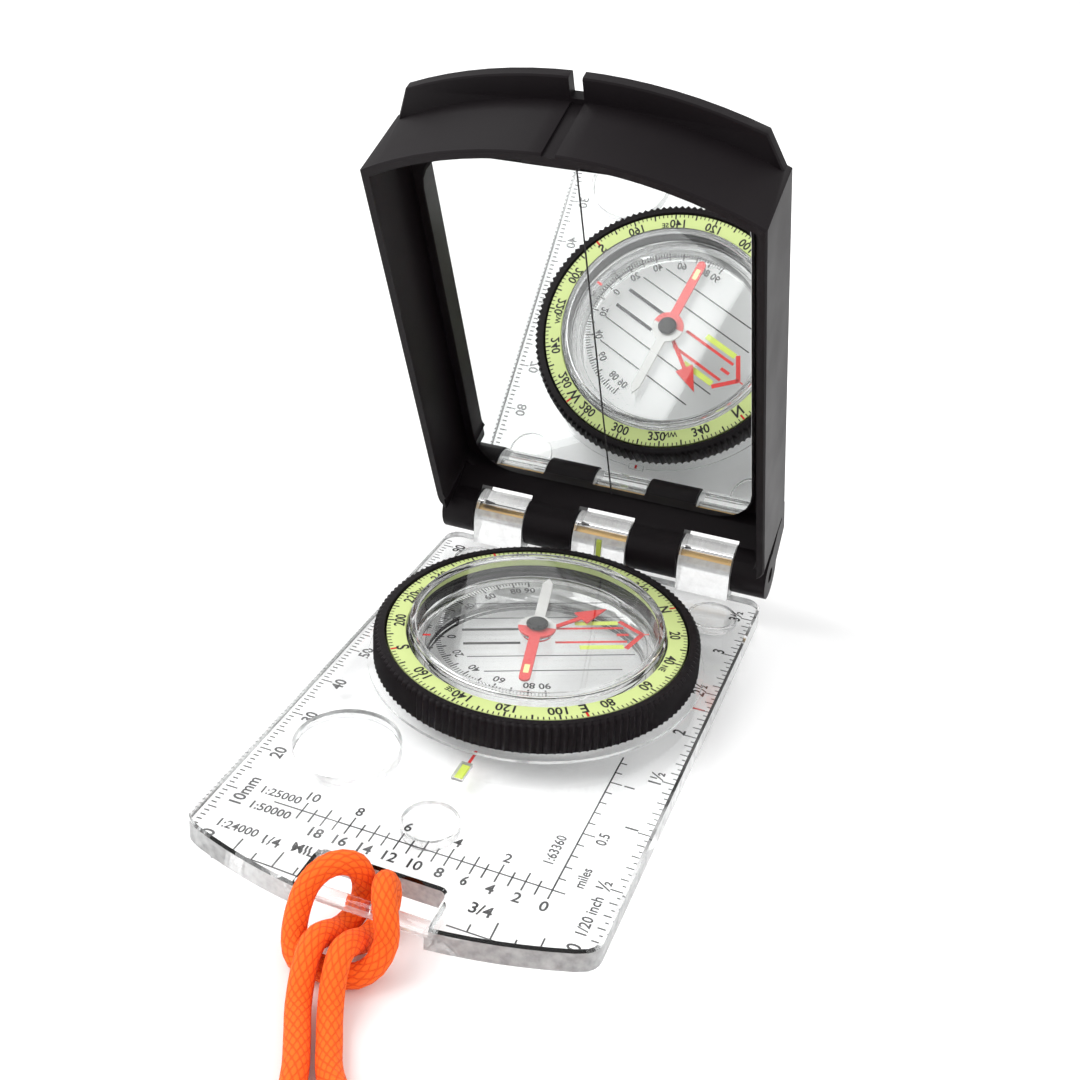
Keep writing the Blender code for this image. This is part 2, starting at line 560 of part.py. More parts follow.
def make_needle(paint, black, steel, turn):
    """Painted needle, the magnet under it and the cap on its bearing."""
    low = NEEDLE_BOTTOM
    high = low + NEEDLE_THICKNESS
    needle_tip = NEEDLE_HALF_LENGTH
    w = NEEDLE_SHAFT_HALF_WIDTH
    hub = NEEDLE_HUB_RADIUS
    spread = math.degrees(math.asin(w / hub))
    outline = [(0, needle_tip), (-w, needle_tip - NEEDLE_POINT_LENGTH)]
    outline += arc(0, 0, hub, 90 + spread, 270 - spread, 10)
    outline += arc(0, w - needle_tip, w, 180, 360, 6)
    outline += arc(0, 0, hub, 270 + spread, 450 - spread, 10)
    outline += [(w, needle_tip - NEEDLE_POINT_LENGTH)]
    needle = prism("needle", outline, low, high, paint, turn)
    with_hole(needle, "needle_hole_tool", PIVOT_RADIUS + FIT, low, high, turn)
    hole = PIVOT_RADIUS + FIT
    top = MAGNET_BOTTOM + MAGNET_THICKNESS
    profile = [(hole, MAGNET_BOTTOM), (MAGNET_RADIUS, MAGNET_BOTTOM), (MAGNET_RADIUS, top),
               (hole, top)]
    turned("needle_magnet", profile, 32, steel, turn)
    top = CAP_BOTTOM + CAP_THICKNESS
    profile = [(0, CAP_BOTTOM), (CAP_RADIUS, CAP_BOTTOM), (CAP_RADIUS, top - 0.3),
               (CAP_RADIUS - 0.4, top), (0, top)]
    turned("needle_cap", profile, 32, black, turn)


def cover_outline(inset):
    """The cover's outline, or that of its hollow a wall's thickness inside it."""
    w = COVER_HALF_WIDTH - inset
    radius = COVER_TOP_RADIUS - inset
    centre = COVER_TOP_V - COVER_TOP_RADIUS
    foot = COVER_FOOT_V + (COVER_FOOT_WALL if inset else 0.0)
    corner = COVER_FOOT_CORNER - inset
    outline = arc(-w + corner, foot + corner, corner, 180, 270, 5)
    outline += arc(w - corner, foot + corner, corner, 270, 360, 5)
    spread = math.degrees(math.asin(w / radius))
    outline += arc(0, centre, radius, 90 - spread, 90 + spread, 18)
    return outline


def lip_outline():
    """The flange that stands above the top wall and carries the sighting notch."""
    centre = LIP_TOP_V - LIP_TOP_RADIUS
    spread = math.degrees(math.asin(LIP_SHOULDER_X / LIP_TOP_RADIUS))
    outline = [(-LIP_START_X, LIP_START_V - LIP_OVERLAP), (LIP_START_X, LIP_START_V - LIP_OVERLAP)]
    outline += [(LIP_START_X, LIP_START_V)]
    outline += arc(0, centre, LIP_TOP_RADIUS, 90 - spread, 90 + spread, 16)
    outline += [(-LIP_START_X, LIP_START_V)]
    return outline


def hinge_block_outline():
    """Side view of the barrels and the web that joins them to the cover's floor."""
    foot_v = COVER_FOOT_V + COVER_FOOT_WALL
    outline = arc(0, 0, BARREL_RADIUS, -20, 256, 20)
    outline += [(1.6, COVER_BACK_W), (9.0, COVER_BACK_W), (9.0, COVER_FLOOR_W)]
    outline += [(foot_v, COVER_FLOOR_W), (foot_v, COVER_FLOOR_W + FOOT_STEP)]
    return outline


def make_cover(black, cover):
    """Tray-shaped cover with its lip, notch, back pad and hinge barrels."""
    shell = prism("cover_shell", cover_outline(0.0), COVER_BACK_W, COVER_RIM_W, black, cover, 0.3)
    lip = prism("lip_tool", lip_outline(), COVER_BACK_W, COVER_FLOOR_W, None, cover, 0.25)
    combine(shell, lip, "UNION")
    foot_v = COVER_FOOT_V + COVER_FOOT_WALL
    inside = COVER_HALF_WIDTH - COVER_WALL
    low = (-inside, COVER_FOOT_V - 1, COVER_FLOOR_W + FOOT_STEP)
    high = (inside, foot_v + 1, COVER_RIM_W + 1)
    combine(shell, box("foot_tool", low, high, None, cover), "DIFFERENCE")
    block = across("hinge_block_tool", hinge_block_outline(), -COVER_HALF_WIDTH,
                   COVER_HALF_WIDTH, None, cover)
    combine(shell, block, "UNION")
    w = COVER_BACK_W
    pad_side = [(PAD_FOOT_V - 4, w + 1), (PAD_FOOT_V - 4, w), (PAD_FOOT_V, w - PAD_HEIGHT),
                (PAD_TOP_V, w - PAD_HEIGHT), (PAD_TOP_V + 1.5, w), (PAD_TOP_V + 1.5, w + 1)]
    pad = across("pad_tool", pad_side, -PAD_HALF_WIDTH, PAD_HALF_WIDTH, None, cover)
    combine(shell, pad, "UNION")
    hollow = prism("hollow_tool", cover_outline(COVER_WALL), COVER_FLOOR_W, COVER_RIM_W + 5,
                   None, cover)
    combine(shell, hollow, "DIFFERENCE")
    top_inside = COVER_TOP_V - COVER_WALL
    low = (-TAB_HALF_WIDTH, top_inside - TAB_DROP, COVER_RIM_W - TAB_DEPTH)
    high = (TAB_HALF_WIDTH, top_inside + 0.6, COVER_RIM_W - 0.35)
    combine(shell, box("tab_tool", low, high, None, cover), "UNION")
    half = NOTCH_WIDTH / 2
    low = (-half, NOTCH_FOOT_V, COVER_BACK_W - 1)
    high = (half, LIP_TOP_V + 5, COVER_FLOOR_W + 0.5)
    combine(shell, box("notch_tool", low, high, None, cover), "DIFFERENCE")
    low = (-half, COVER_TOP_V - GROOVE_DEPTH, COVER_FLOOR_W)
    high = (half, LIP_TOP_V + 5, COVER_RIM_W + 5)
    combine(shell, box("groove_tool", low, high, None, cover), "DIFFERENCE")
    reach = KNUCKLE_RADIUS + 1.5 * FIT
    for i, (x, half) in enumerate(zip(KNUCKLE_CENTRES, KNUCKLE_HALF_WIDTHS)):
        low = (x - half - FIT, -BARREL_RADIUS - 5, COVER_BACK_W - 5)
        high = (x + half + FIT, reach, COVER_RIM_W + 5)
        combine(shell, box(f"gap_tool_{i}", low, high, None, cover), "DIFFERENCE")
    bore = rod("bore_tool", 0, 0, PIN_RADIUS + FIT, -COVER_HALF_WIDTH - 1, COVER_HALF_WIDTH + 1,
               24, None, cover)
    combine(shell, bore, "DIFFERENCE")


def make_mirror(glass, foam, cover):
    """Silvered plate with round corners on a thin adhesive pad."""
    w = MIRROR_HALF_WIDTH
    outline = rounded_box(-w, w, MIRROR_FOOT_V, MIRROR_TOP_V, MIRROR_CORNER_RADIUS, 6)
    prism("mirror", outline, MIRROR_BACK_W, MIRROR_BACK_W + MIRROR_THICKNESS, glass, cover, 0.4)
    m = MIRROR_PAD_MARGIN
    outline = rounded_box(-w + m, w - m, MIRROR_FOOT_V + m, MIRROR_TOP_V - m,
                          MIRROR_CORNER_RADIUS - m, 4)
    prism("mirror_pad", outline, MIRROR_PAD_W, MIRROR_PAD_W + MIRROR_PAD_THICKNESS, foam, cover)


def smooth_route(points):
    """Points read from the smooth curve that runs through the given ones."""
    pts = [Vector(p) for p in points]
    pts = [pts[0] * 2 - pts[1]] + pts + [pts[-1] * 2 - pts[-2]]
    route = []
    for i in range(1, len(pts) - 2):
        a, b, c, d = pts[i - 1], pts[i], pts[i + 1], pts[i + 2]
        count = max(2, round((c - b).length / CORD_SPACING))
        for k in range(count):
            t = k / count
            even = (2 * a - 5 * b + 4 * c - d) * t * t + (3 * b - 3 * c + d - a) * t ** 3
            route.append(0.5 * (2 * b + (c - a) * t + even))
    route.append(pts[-2])
    return route


def tube(name, points, mat, parent):
    """A length of round cord."""
    curve = bpy.data.curves.new(name, "CURVE")
    curve.dimensions = "3D"
    curve.bevel_depth = CORD_DIAMETER / 2 * MM
    curve.bevel_resolution = 2
    curve.use_fill_caps = True
    route = smooth_route(points)
    spline = curve.splines.new("POLY")
    spline.points.add(len(route) - 1)
    for point, place in zip(spline.points, route):
        point.co = (*(place * MM), 1.0)
    curve.materials.append(mat)
    ob = bpy.data.objects.new(name, curve)
    bpy.context.collection.objects.link(ob)
    ob.parent = parent
    return ob


def make_lanyard(cord, base):
    """The cord hitched round the bar, its coiled length and the knot at its end."""
    tube("lanyard_left", CORD_LEFT, cord, base)
    tube("lanyard_right", CORD_RIGHT, cord, base)
    inner = COIL_INNER_RADIUS
    outer = COIL_OUTER_RADIUS
    top = COIL_HEIGHT
    profile = [(inner, 0.5), (inner + 0.5, 0), (outer - 1, 0), (outer, 1), (outer, top - 1),
               (outer - 1, top), (inner + 0.5, top), (inner, top - 0.5)]
    turned("lanyard_coil", profile, 40, cord, base, (COIL_X, COIL_Y))
    r = KNOT_RADIUS
    h = KNOT_HEIGHT
    profile = [(0, 0), (r * 0.6, 0), (r, h * 0.3), (r, h * 0.7), (r * 0.6, h), (0, h)]
    inset = COIL_INNER_RADIUS - FIT - KNOT_RADIUS
    turned("lanyard_knot", profile, 20, cord, base, (COIL_X, COIL_Y + inset))


CORD_PIECES = ("lanyard_left", "lanyard_right", "lanyard_coil", "lanyard_knot")


def centre_on_origin(root):
    """Shift the whole compass so that the origin is under the middle of its box."""
    bpy.context.view_layer.update()
    graph = bpy.context.evaluated_depsgraph_get()
    low = Vector((1e9, 1e9, 1e9))
    high = -low
    for ob in bpy.data.objects:
        if ob.type != "MESH" or ob.hide_render or ob.name in CORD_PIECES:
            continue
        shown = ob.evaluated_get(graph)
        for vert in shown.data.vertices:
            place = shown.matrix_world @ vert.co
            low = Vector(map(min, low, place))
            high = Vector(map(max, high, place))
    root.location = (-(low.x + high.x) / 2, -(low.y + high.y) / 2, -low.z)


def main():
    for ob in list(bpy.data.objects):
        bpy.data.objects.remove(ob, do_unlink=True)
    clear = plastic("clear_acrylic", (0.94, 0.95, 0.95), 0.05, clear=0.9)
    clear_printed = plastic("printed_clear_film", (0.90, 0.90, 0.90), 0.2, clear=0.6)
    black = plastic("black_plastic", (0.018, 0.014, 0.016), 0.45)
    rubber = plastic("grey_silicone", (0.55, 0.55, 0.55), 0.6)
    lume = plastic("luminous_plastic", (0.55, 0.68, 0.09), 0.5)
    steel = plastic("spring_steel", (0.55, 0.55, 0.56), 0.3, metallic=1.0)
    brass = plastic("brass", (0.72, 0.48, 0.18), 0.3, metallic=1.0)
    figures = plastic("green_dial_plastic", (0.60, 0.72, 0.27), 0.5)
    red = plastic("red_paint", (0.70, 0.03, 0.03), 0.4)
    white = plastic("white_paint", (0.78, 0.78, 0.76), 0.4)
    glass = plastic("mirror_glass", (0.85, 0.86, 0.86), 0.03, metallic=1.0)
    foam = plastic("adhesive_foam", (0.10, 0.10, 0.10), 0.8)
    cord = plastic("orange_cord", (0.90, 0.09, 0.015), 0.8)

    root = empty("compass")
    base = empty("base_frame", root)
    dial = empty("dial_axis", root, (0, DIAL_Y, 0), (0, 0, -DIAL_NORTH))
    arrow = empty("orienting_axis", dial, rotation=(0, 0, DIAL_NORTH - ARROW_DIRECTION))
    clino = empty("clinometer_axis", dial, rotation=(0, 0, DIAL_NORTH - CLINO_DIRECTION))
    needle = empty("needle_axis", dial, rotation=(0, 0, DIAL_NORTH - NEEDLE_DIRECTION))
    cover = empty("cover_axis", root, (0, HINGE_Y, HINGE_Z), (180 - COVER_OPEN_ANGLE, 0, 0))

    make_plate(clear, base)
    make_feet(rubber, base)
    make_lens(clear, base)
    make_marks(lume, base)
    make_spring(steel, base)
    make_pin(brass, base)
    make_dial(black, figures, clear, steel, dial)
    make_orienting_disc(clear_printed, arrow)
    make_clinometer(red, clino)
    make_needle(white, black, steel, needle)
    make_cover(black, cover)
    make_mirror(glass, foam, cover)
    make_lanyard(cord, base)
    centre_on_origin(root)


main()
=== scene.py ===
# %% [markdown]
# # A sighting compass with a mirror cover
# A clear map plate carries a turning dial and a hinged cover with a mirror. The moving
# parts come in as a fixed frame, in metres. This lesson gives them their finishes, the
# printed scales, the ribbed dial and the braided lanyard.

# %% Load the frame
import json
import math

import bmesh
import bpy
from mathutils import Matrix, Vector


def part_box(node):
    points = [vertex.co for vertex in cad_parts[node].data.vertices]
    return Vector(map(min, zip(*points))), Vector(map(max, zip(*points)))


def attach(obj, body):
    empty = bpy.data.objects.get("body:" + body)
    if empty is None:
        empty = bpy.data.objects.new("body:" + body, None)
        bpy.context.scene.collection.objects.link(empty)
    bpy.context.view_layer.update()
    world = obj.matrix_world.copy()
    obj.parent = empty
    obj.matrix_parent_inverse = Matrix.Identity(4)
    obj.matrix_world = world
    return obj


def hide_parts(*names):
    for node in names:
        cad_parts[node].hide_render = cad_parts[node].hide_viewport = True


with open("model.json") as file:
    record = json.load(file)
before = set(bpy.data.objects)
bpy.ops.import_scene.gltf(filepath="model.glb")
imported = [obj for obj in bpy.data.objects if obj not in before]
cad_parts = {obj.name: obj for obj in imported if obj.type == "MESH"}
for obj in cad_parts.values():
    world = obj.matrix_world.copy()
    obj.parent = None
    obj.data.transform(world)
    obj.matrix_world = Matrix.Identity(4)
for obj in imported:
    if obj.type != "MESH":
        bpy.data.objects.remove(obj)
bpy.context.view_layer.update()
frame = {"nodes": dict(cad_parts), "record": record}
MM = 0.001
bpy.context.scene.view_settings.view_transform = "Standard"

# %% [markdown]
# ## The plate's own ruler
# The map plate's scales start from a zero line near its front edge, so every print is
# placed in that ruler's millimetres. One matrix carries them into the frame. A second
# one does the same for the cover, whose plane leans forward over the plate.

# %% Plate and cover coordinates
DIAL_Y = 49.3
dial_low, dial_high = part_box("bezel")
shift = (dial_low.y + dial_high.y) / 2 - DIAL_Y * MM
plate_space = Matrix.Translation((0, shift, 0)) @ Matrix.Scale(MM, 4)
to_plate = plate_space.inverted()
joints = {joint["name"]: joint for joint in frame["record"]["behaviour"]["joints"]}
hinge = Vector(joints["cover_hinge"]["pos_m"])
open_angle = math.radians(joints["cover_hinge"]["range_deg"][1])
lean = Matrix.Rotation(math.pi - open_angle, 4, "X")
cover_space = Matrix.Translation(hinge) @ lean @ Matrix.Scale(MM, 4)
print("plate ruler starts at", round(shift / MM, 2), "mm")
print("cover stands", round(math.degrees(open_angle), 1), "degrees from shut")

# %% [markdown]
# ## The camera
# It stands in front, to the right and above, and is turned a little about its own line
# of sight. Its place is given in millimetres, and its turn is built from three
# directions: right, up and back.

# %% Camera
CAMERA_PLACE = Vector((71.19, -191.064, 150.79))
AZIMUTH, ELEVATION, ROLL = (math.radians(a) for a in (21.121, 23.485, 2.276))
ahead = Vector((-math.sin(AZIMUTH) * math.cos(ELEVATION),
                math.cos(AZIMUTH) * math.cos(ELEVATION), -math.sin(ELEVATION)))
level = ahead.cross(Vector((0, 0, 1))).normalized()
upward = level.cross(ahead)
right = math.cos(ROLL) * level + math.sin(ROLL) * upward
up = math.cos(ROLL) * upward - math.sin(ROLL) * level
lens = bpy.data.cameras.new("camera")
lens.lens = 48.61
lens.sensor_width = 36.0
lens.shift_x = 0.0258
lens.shift_y = -0.1471
lens.clip_start = 0.01
camera = bpy.data.objects.new("camera", lens)
turn = Matrix((right, up, -ahead)).transposed().to_4x4()
camera.matrix_world = Matrix.Translation(CAMERA_PLACE * MM) @ turn
bpy.context.collection.objects.link(camera)
bpy.context.scene.camera = camera
print("camera", round(CAMERA_PLACE.length), "mm from the origin")

# %% [markdown]
# ## Shader sums as plain Python
# A finish is a small network of shader nodes. Wrapping a socket in a class with the
# usual operators lets a pattern be written as a formula, and every other node comes
# from the one method `node`.

# %% A socket that can be added and multiplied
class Wire:
    """An output socket of a finish, ready for arithmetic."""

    def __init__(self, finish, socket):
        self.finish = finish
        self.socket = socket

    def sum(self, operation, first, second=0.0):
        return self.finish.node("ShaderNodeMath", {"operation": operation},
                                {0: first, 1: second})

    def __add__(self, other):
        return self.sum("ADD", self, other)

    def __sub__(self, other):
        return self.sum("SUBTRACT", self, other)

    def __rsub__(self, other):
        return self.sum("SUBTRACT", other, self)

    def __mul__(self, other):
        return self.sum("MULTIPLY", self, other)

    def __gt__(self, other):
        return self.sum("GREATER_THAN", self, other)

    def __lt__(self, other):
        return self.sum("LESS_THAN", self, other)

    def __abs__(self):
        return self.sum("ABSOLUTE", self)

    def sine(self):
        return self.sum("SINE", self)

    __radd__ = __add__
    __rmul__ = __mul__


print("sockets can be added, multiplied and compared")

# %% [markdown]
# Every material starts as a Principled shader. What is the same all over a surface is set
# on the shader's own sockets, and what changes over it is fed in through nodes. Clear
# stock also needs a short way for light to reach what lies behind it, and its upright
# edges need a little frost, because a perfectly clear edge comes out black.

# %% A material and its one way of adding nodes
FROST_COLOR = (0.80, 0.81, 0.81, 1.0)
UPRIGHT = 0.5       # a face counts as upright when its normal's height is below this


class Finish:
    """A Principled material whose fixed values sit on the shader's own sockets."""

    def __init__(self, name, color, roughness, **fixed):
        self.material = bpy.data.materials.new(name)
        self.material.use_nodes = True
        self.tree = self.material.node_tree
        self.shader = self.tree.nodes["Principled BSDF"]
        self.shader.inputs["Base Color"].default_value = (*color, 1.0)
        self.shader.inputs["Roughness"].default_value = roughness
        for key, value in fixed.items():
            self.shader.inputs[key.replace("_", " ")].default_value = value

    def node(self, kind, settings=None, inputs=None, out=0):
        """Add a node, set it up, link or fill its sockets, and return one of its outputs."""
        made = self.tree.nodes.new(kind)
        for key, value in (settings or {}).items():
            if key == "stops":
                for stop, (place, shade) in zip(made.color_ramp.elements, value):
                    stop.position = place
                    stop.color = (shade, shade, shade, 1.0)
            else:
                setattr(made, key, value)
        for key, value in (inputs or {}).items():
            if isinstance(value, Wire):
                self.tree.links.new(value.socket, made.inputs[key])
            else:
                made.inputs[key].default_value = value
        return Wire(self, made.outputs[out])

    def feed(self, socket, wire):
        self.tree.links.new(wire.socket, self.shader.inputs[socket])

    def place(self, kind="Object"):
        return self.node("ShaderNodeTexCoord", out=kind)

    def noise(self, scale, detail=3.0, stretch=(1, 1, 1)):
        where = self.node("ShaderNodeMapping", None, {"Vector": self.place(), "Scale": stretch})
        return self.node("ShaderNodeTexNoise", None,
                         {"Vector": where, "Scale": scale, "Detail": detail})

    def blend(self, mask, first, second):
        """Colour `first` where the mask is 0 and `second` where it is 1."""
        colors = [c if isinstance(c, Wire) else (*c, 1.0) for c in (first, second)]
        return self.node("ShaderNodeMix", {"data_type": "RGBA"},
                         {0: mask, 6: colors[0], 7: colors[1]}, out=2)

    def relief(self, height, depth, strength=1.0):
        self.feed("Normal", self.node("ShaderNodeBump", None, {
            "Height": height, "Distance": depth, "Strength": strength}))

    def let_light_through(self, share, edges=0.0):
        """Light on its way to a surface behind passes straight on, as through thin clear stock.

        Upright edges may also be a little frosted, as sawn and polished ones are."""
        out = self.tree.nodes["Material Output"]
        through = self.node("ShaderNodeBsdfTransparent")
        shadow = self.node("ShaderNodeLightPath", out="Is Shadow Ray")
        body = Wire(self, self.shader.outputs[0])
        if edges:
            normal = self.node("ShaderNodeSeparateXYZ", None, {0: self.place("Normal")}, out="Z")
            frost = self.node("ShaderNodeBsdfDiffuse", None, {"Color": FROST_COLOR})
            cloud = 0.4 + self.noise(700.0, 4.0) * 1.2
            mask = (abs(normal) < UPRIGHT) * cloud * edges
            body = self.node("ShaderNodeMixShader", None, {0: mask, 1: body, 2: frost})
        both = self.node("ShaderNodeMixShader", None, {0: shadow * share, 1: body, 2: through})
        self.tree.links.new(both.socket, out.inputs["Surface"])


print("finish class ready")

# %% [markdown]
# ## Finishes
# Clear acrylic is a polished dielectric: what shows it is refraction at its edges and the
# sky in its faces. The black parts are moulded in satin ABS with a fine spark-eroded
# grain. The dial ring and the glowing bars are pigmented plastic with a faint speckle.

# %% Clear plastics
def clear_plastic(name, color, roughness, share, bend=1.49, edges=0.0):
    finish = Finish(name, color, roughness, Transmission_Weight=1.0, IOR=bend)
    smears = finish.noise(60.0, 4.0)
    finish.feed("Roughness", roughness + smears * roughness)
    finish.relief(finish.noise(45.0, 1.0), 0.00003, 0.1)
    finish.let_light_through(share, edges)
    return finish.material


acrylic = clear_plastic("clear_acrylic", (0.992, 0.996, 0.996), 0.01, 0.95, edges=0.42)
capsule_clear = clear_plastic("capsule_acrylic", (0.995, 0.998, 0.996), 0.004, 0.97, bend=1.33)
film = clear_plastic("clear_film", (0.995, 0.998, 0.995), 0.004, 0.98, bend=1.22)
silicone = clear_plastic("clear_silicone", (0.985, 0.985, 0.98), 0.06, 0.96, bend=1.41, edges=0.25)
print("clear finishes:", acrylic.name, capsule_clear.name, film.name, silicone.name)

# %% [markdown]
# Moulded plastic is never one flat colour. A fine speckle is the grain of the mould and
# a broad cloud is the uneven flow of the pigment. Both blend two close tones, the cloud
# also moves the gloss a little, and the speckle is the bump. Inks share the recipe.

# %% Moulded plastics and inks
def moulded(name, color, pale, roughness, grain=2600.0, shine=0.35):
    finish = Finish(name, color, roughness, Specular_IOR_Level=shine)
    speckle = finish.noise(grain, 2.0)
    cloud = finish.noise(90.0, 3.0)
    finish.feed("Base Color", finish.blend(cloud * 0.6 + speckle * 0.3, color, pale))
    finish.feed("Roughness", roughness - 0.08 + cloud * 0.16)
    finish.relief(speckle, 0.00002, 0.5)
    return finish.material


black_plastic = moulded("black_plastic", (0.0055, 0.0042, 0.005), (0.012, 0.009, 0.0105), 0.46,
                        shine=0.12)
black_gloss = moulded("black_gloss", (0.006, 0.006, 0.007), (0.012, 0.011, 0.012), 0.3, shine=0.2)
foam = moulded("adhesive_foam", (0.09, 0.09, 0.09), (0.15, 0.15, 0.15), 0.85, grain=1400.0)
dial_plastic = moulded("green_dial_plastic", (0.60, 0.71, 0.26), (0.66, 0.76, 0.33), 0.45)
lume = moulded("luminous_plastic", (0.54, 0.66, 0.075), (0.64, 0.74, 0.14), 0.5, grain=1800.0)
red_ink = moulded("red_ink", (0.60, 0.012, 0.010), (0.68, 0.025, 0.02), 0.5)
black_ink = moulded("black_ink", (0.012, 0.011, 0.012), (0.03, 0.028, 0.03), 0.5)
print("moulded finishes:", black_plastic.name, black_gloss.name, foam.name, dial_plastic.name, lume.name)

# %% [markdown]
# Metals show their making: the pin is drawn brass with lines along it, and the spring is
# rolled steel. A noise stretched along the pin gives both the lines and the uneven gloss.

# %% Metals and the mirror
def drawn_metal(name, color, dark, roughness):
    finish = Finish(name, color, roughness, Metallic=1.0)
    lines = finish.noise(2400.0, 2.0, (0.02, 1, 1))
    finish.feed("Base Color", finish.blend(lines, dark, color))
    finish.feed("Roughness", roughness + lines * 0.12)
    finish.relief(lines, 0.00001, 0.4)
    return finish.material


brass = drawn_metal("brass", (0.83, 0.56, 0.23), (0.60, 0.37, 0.12), 0.24)
steel = drawn_metal("spring_steel", (0.66, 0.66, 0.67), (0.50, 0.50, 0.51), 0.22)
silvering = Finish("mirror_glass", (0.90, 0.915, 0.91), 0.006, Metallic=1.0)
silvering.feed("Roughness", 0.004 + silvering.noise(35.0, 3.0) * 0.006)
mirror_glass = silvering.material
print(len(bpy.data.materials), "finishes")

# %% [markdown]
# ## Cord and coil
# The lanyard is one loop of round braided cord. Its bight lies on the table, both legs
# climb over the bar, drop through the slot and come forward again, so the loop can't slip
# off. The rest is wound in a flat coil of two layers and ends in a knot. Each half is
# swept as a round curve along a smooth route, then made a mesh to carry the braid's UVs.

# %% The route of each half
CORD_RADIUS = 1.75
COIL_X, COIL_Y = 25.0, -69.0
COIL_START_RADIUS = 23.4
COIL_PITCH = 3.65
COIL_STEPS = 24         # points in one turn
KNOT_REACH = 10.0       # how far from the coil's middle the cord enters the knot
KNOT_SWEEP = 0.45       # the part of a turn over which it turns in to get there
LEFT_COIL = {"start": 180, "direction": 1, "turns": 2.672, "level": 1.8, "end_level": 2.8}
RIGHT_COIL = {"start": 90, "direction": -1, "turns": 2.92, "level": 5.3, "end_level": 4.4}
CORD_LEFT = (
    (-3.4, -23.7, 1.8), (-4.8, -23.7, 1.8), (-6.6, -22.6, 2.0), (-7.8, -20.6, 3.2),
    (-8.2, -18.5, 5.5), (-7.7, -16.7, 8.1), (-6.3, -14.8, 9.8), (-4.4, -13.2, 10.2),
    (-2.8, -12.1, 9.3), (-2.1, -11.6, 7.5), (-2.0, -11.2, 5.2), (-2.2, -12.1, 2.6),
    (-2.6, -14.8, 1.76), (-3.0, -17.4, 2.3), (-3.2, -20.2, 4.2), (-3.2, -23.6, 5.7),
    (-2.6, -27.2, 4.3), (-1.4, -30.8, 2.2), (0.6, -34.6, 1.8), (3.1, -39.5, 1.8),
    (4.5, -44.4, 1.8), (3.8, -49.2, 1.8), (2.2, -53.2, 1.8),
)
CORD_RIGHT = (
    (-3.0, -23.7, 1.8), (0.4, -23.7, 1.8), (2.9, -23.0, 1.8), (4.6, -21.1, 2.6),
    (5.2, -19.0, 4.6), (4.6, -17.7, 7.3), (3.2, -15.6, 9.0), (2.3, -13.5, 9.1),
    (1.9, -12.0, 7.8), (1.9, -11.2, 5.4), (1.7, -12.1, 2.6), (1.4, -14.8, 1.76),
    (1.1, -17.4, 2.3), (0.9, -20.2, 4.2), (1.0, -23.6, 5.7), (1.7, -27.0, 4.3),
    (3.0, -30.4, 2.2), (4.8, -33.9, 1.8), (7.0, -37.9, 1.8), (10.2, -41.2, 2.7),
    (14.3, -43.1, 4.3),
)


def wound(start, direction, turns, level, end_level):
    """Points of a flat spiral that works inwards and ends in the knot."""
    points = []
    count = round(turns * COIL_STEPS)
    for i in range(count + 1):
        t = turns * i / count
        late = max(0.0, (t - turns + KNOT_SWEEP) / KNOT_SWEEP)
        angle = math.radians(start + direction * 360 * t)
        radius = COIL_START_RADIUS - COIL_PITCH * t
        radius += (KNOT_REACH - radius) * late * late * (3 - 2 * late)
        height = level + (end_level - level) * late
        points.append((COIL_X + radius * math.cos(angle), COIL_Y + radius * math.sin(angle), height))
    return points


def smooth_route(points, step=1.2):
    """Closely spaced points of the smooth curve through the given ones."""
    pts = [Vector(p) for p in points]
    pts = [pts[0] * 2 - pts[1]] + pts + [pts[-1] * 2 - pts[-2]]
    route = []
    for a, b, c, d in zip(pts, pts[1:], pts[2:], pts[3:]):
        count = max(2, round((c - b).length / step))
        for k in range(count):
            t = k / count
            even = (2 * a - 5 * b + 4 * c - d) * t * t + (3 * b - 3 * c + d - a) * t ** 3
            route.append(0.5 * (2 * b + (c - a) * t + even))
    route.append(pts[-2])
    return [plate_space @ p for p in route]


def run_length(route):
    return sum((b - a).length for a, b in zip(route, route[1:]))


left_route = smooth_route(CORD_LEFT + tuple(wound(**LEFT_COIL)))
right_route = smooth_route(CORD_RIGHT + tuple(wound(**RIGHT_COIL)))
left_length = run_length(left_route)
right_length = run_length(right_route)
print("halves of the loop:", round(left_length, 3), round(right_length, 3), "m")

# %% [markdown]
# The braid is drawn in the tube's own UVs: one runs round the cord and the other along
# it. Two families of slanting ribs cross, and where one dives under the other the weave
# is painted a darker orange, as painted shade in its crevices. The same pattern lifts
# the surface as a bump.

# %% Braided cord
BRAID_STRANDS = 5       # bundles side by side round the cord, each way
BRAID_PITCH = 0.0037    # metres that a bundle advances in one wave


def braid(name, metres):
    finish = Finish(name, (0.91, 0.09, 0.01), 0.8, Sheen_Weight=0.04, Sheen_Roughness=0.5,
                    Specular_IOR_Level=0.15)
    run = finish.node("ShaderNodeSeparateXYZ", None, {0: finish.place("UV")}, out="X")
    turn = finish.node("ShaderNodeSeparateXYZ", None, {0: finish.place("UV")}, out="Y")
    around = turn * (math.tau * BRAID_STRANDS)
    along = run * (math.tau * metres / BRAID_PITCH)
    ribs = abs((around + along).sine()) * abs((around - along).sine())
    # depth is 0 in the crevices of the weave and 1 on its raised bundles; it drives both the bump and
    # the painted shade.
    depth = finish.node("ShaderNodeValToRGB", {"stops": ((0.0, 0.0), (0.45, 1.0))}, {0: ribs})
    fuzz = finish.noise(5200.0, 2.0)
    # Painted shade: the crevices get the darker orange and the raised bundles the brighter one.
    color = finish.blend(depth, (0.80, 0.065, 0.006), (1.0, 0.145, 0.014))
    finish.feed("Base Color", finish.blend(fuzz * 0.25, color, (1.0, 0.26, 0.05)))
    finish.relief(depth * 0.8 + fuzz * 0.2, 0.00016, 0.7)
    return finish.material


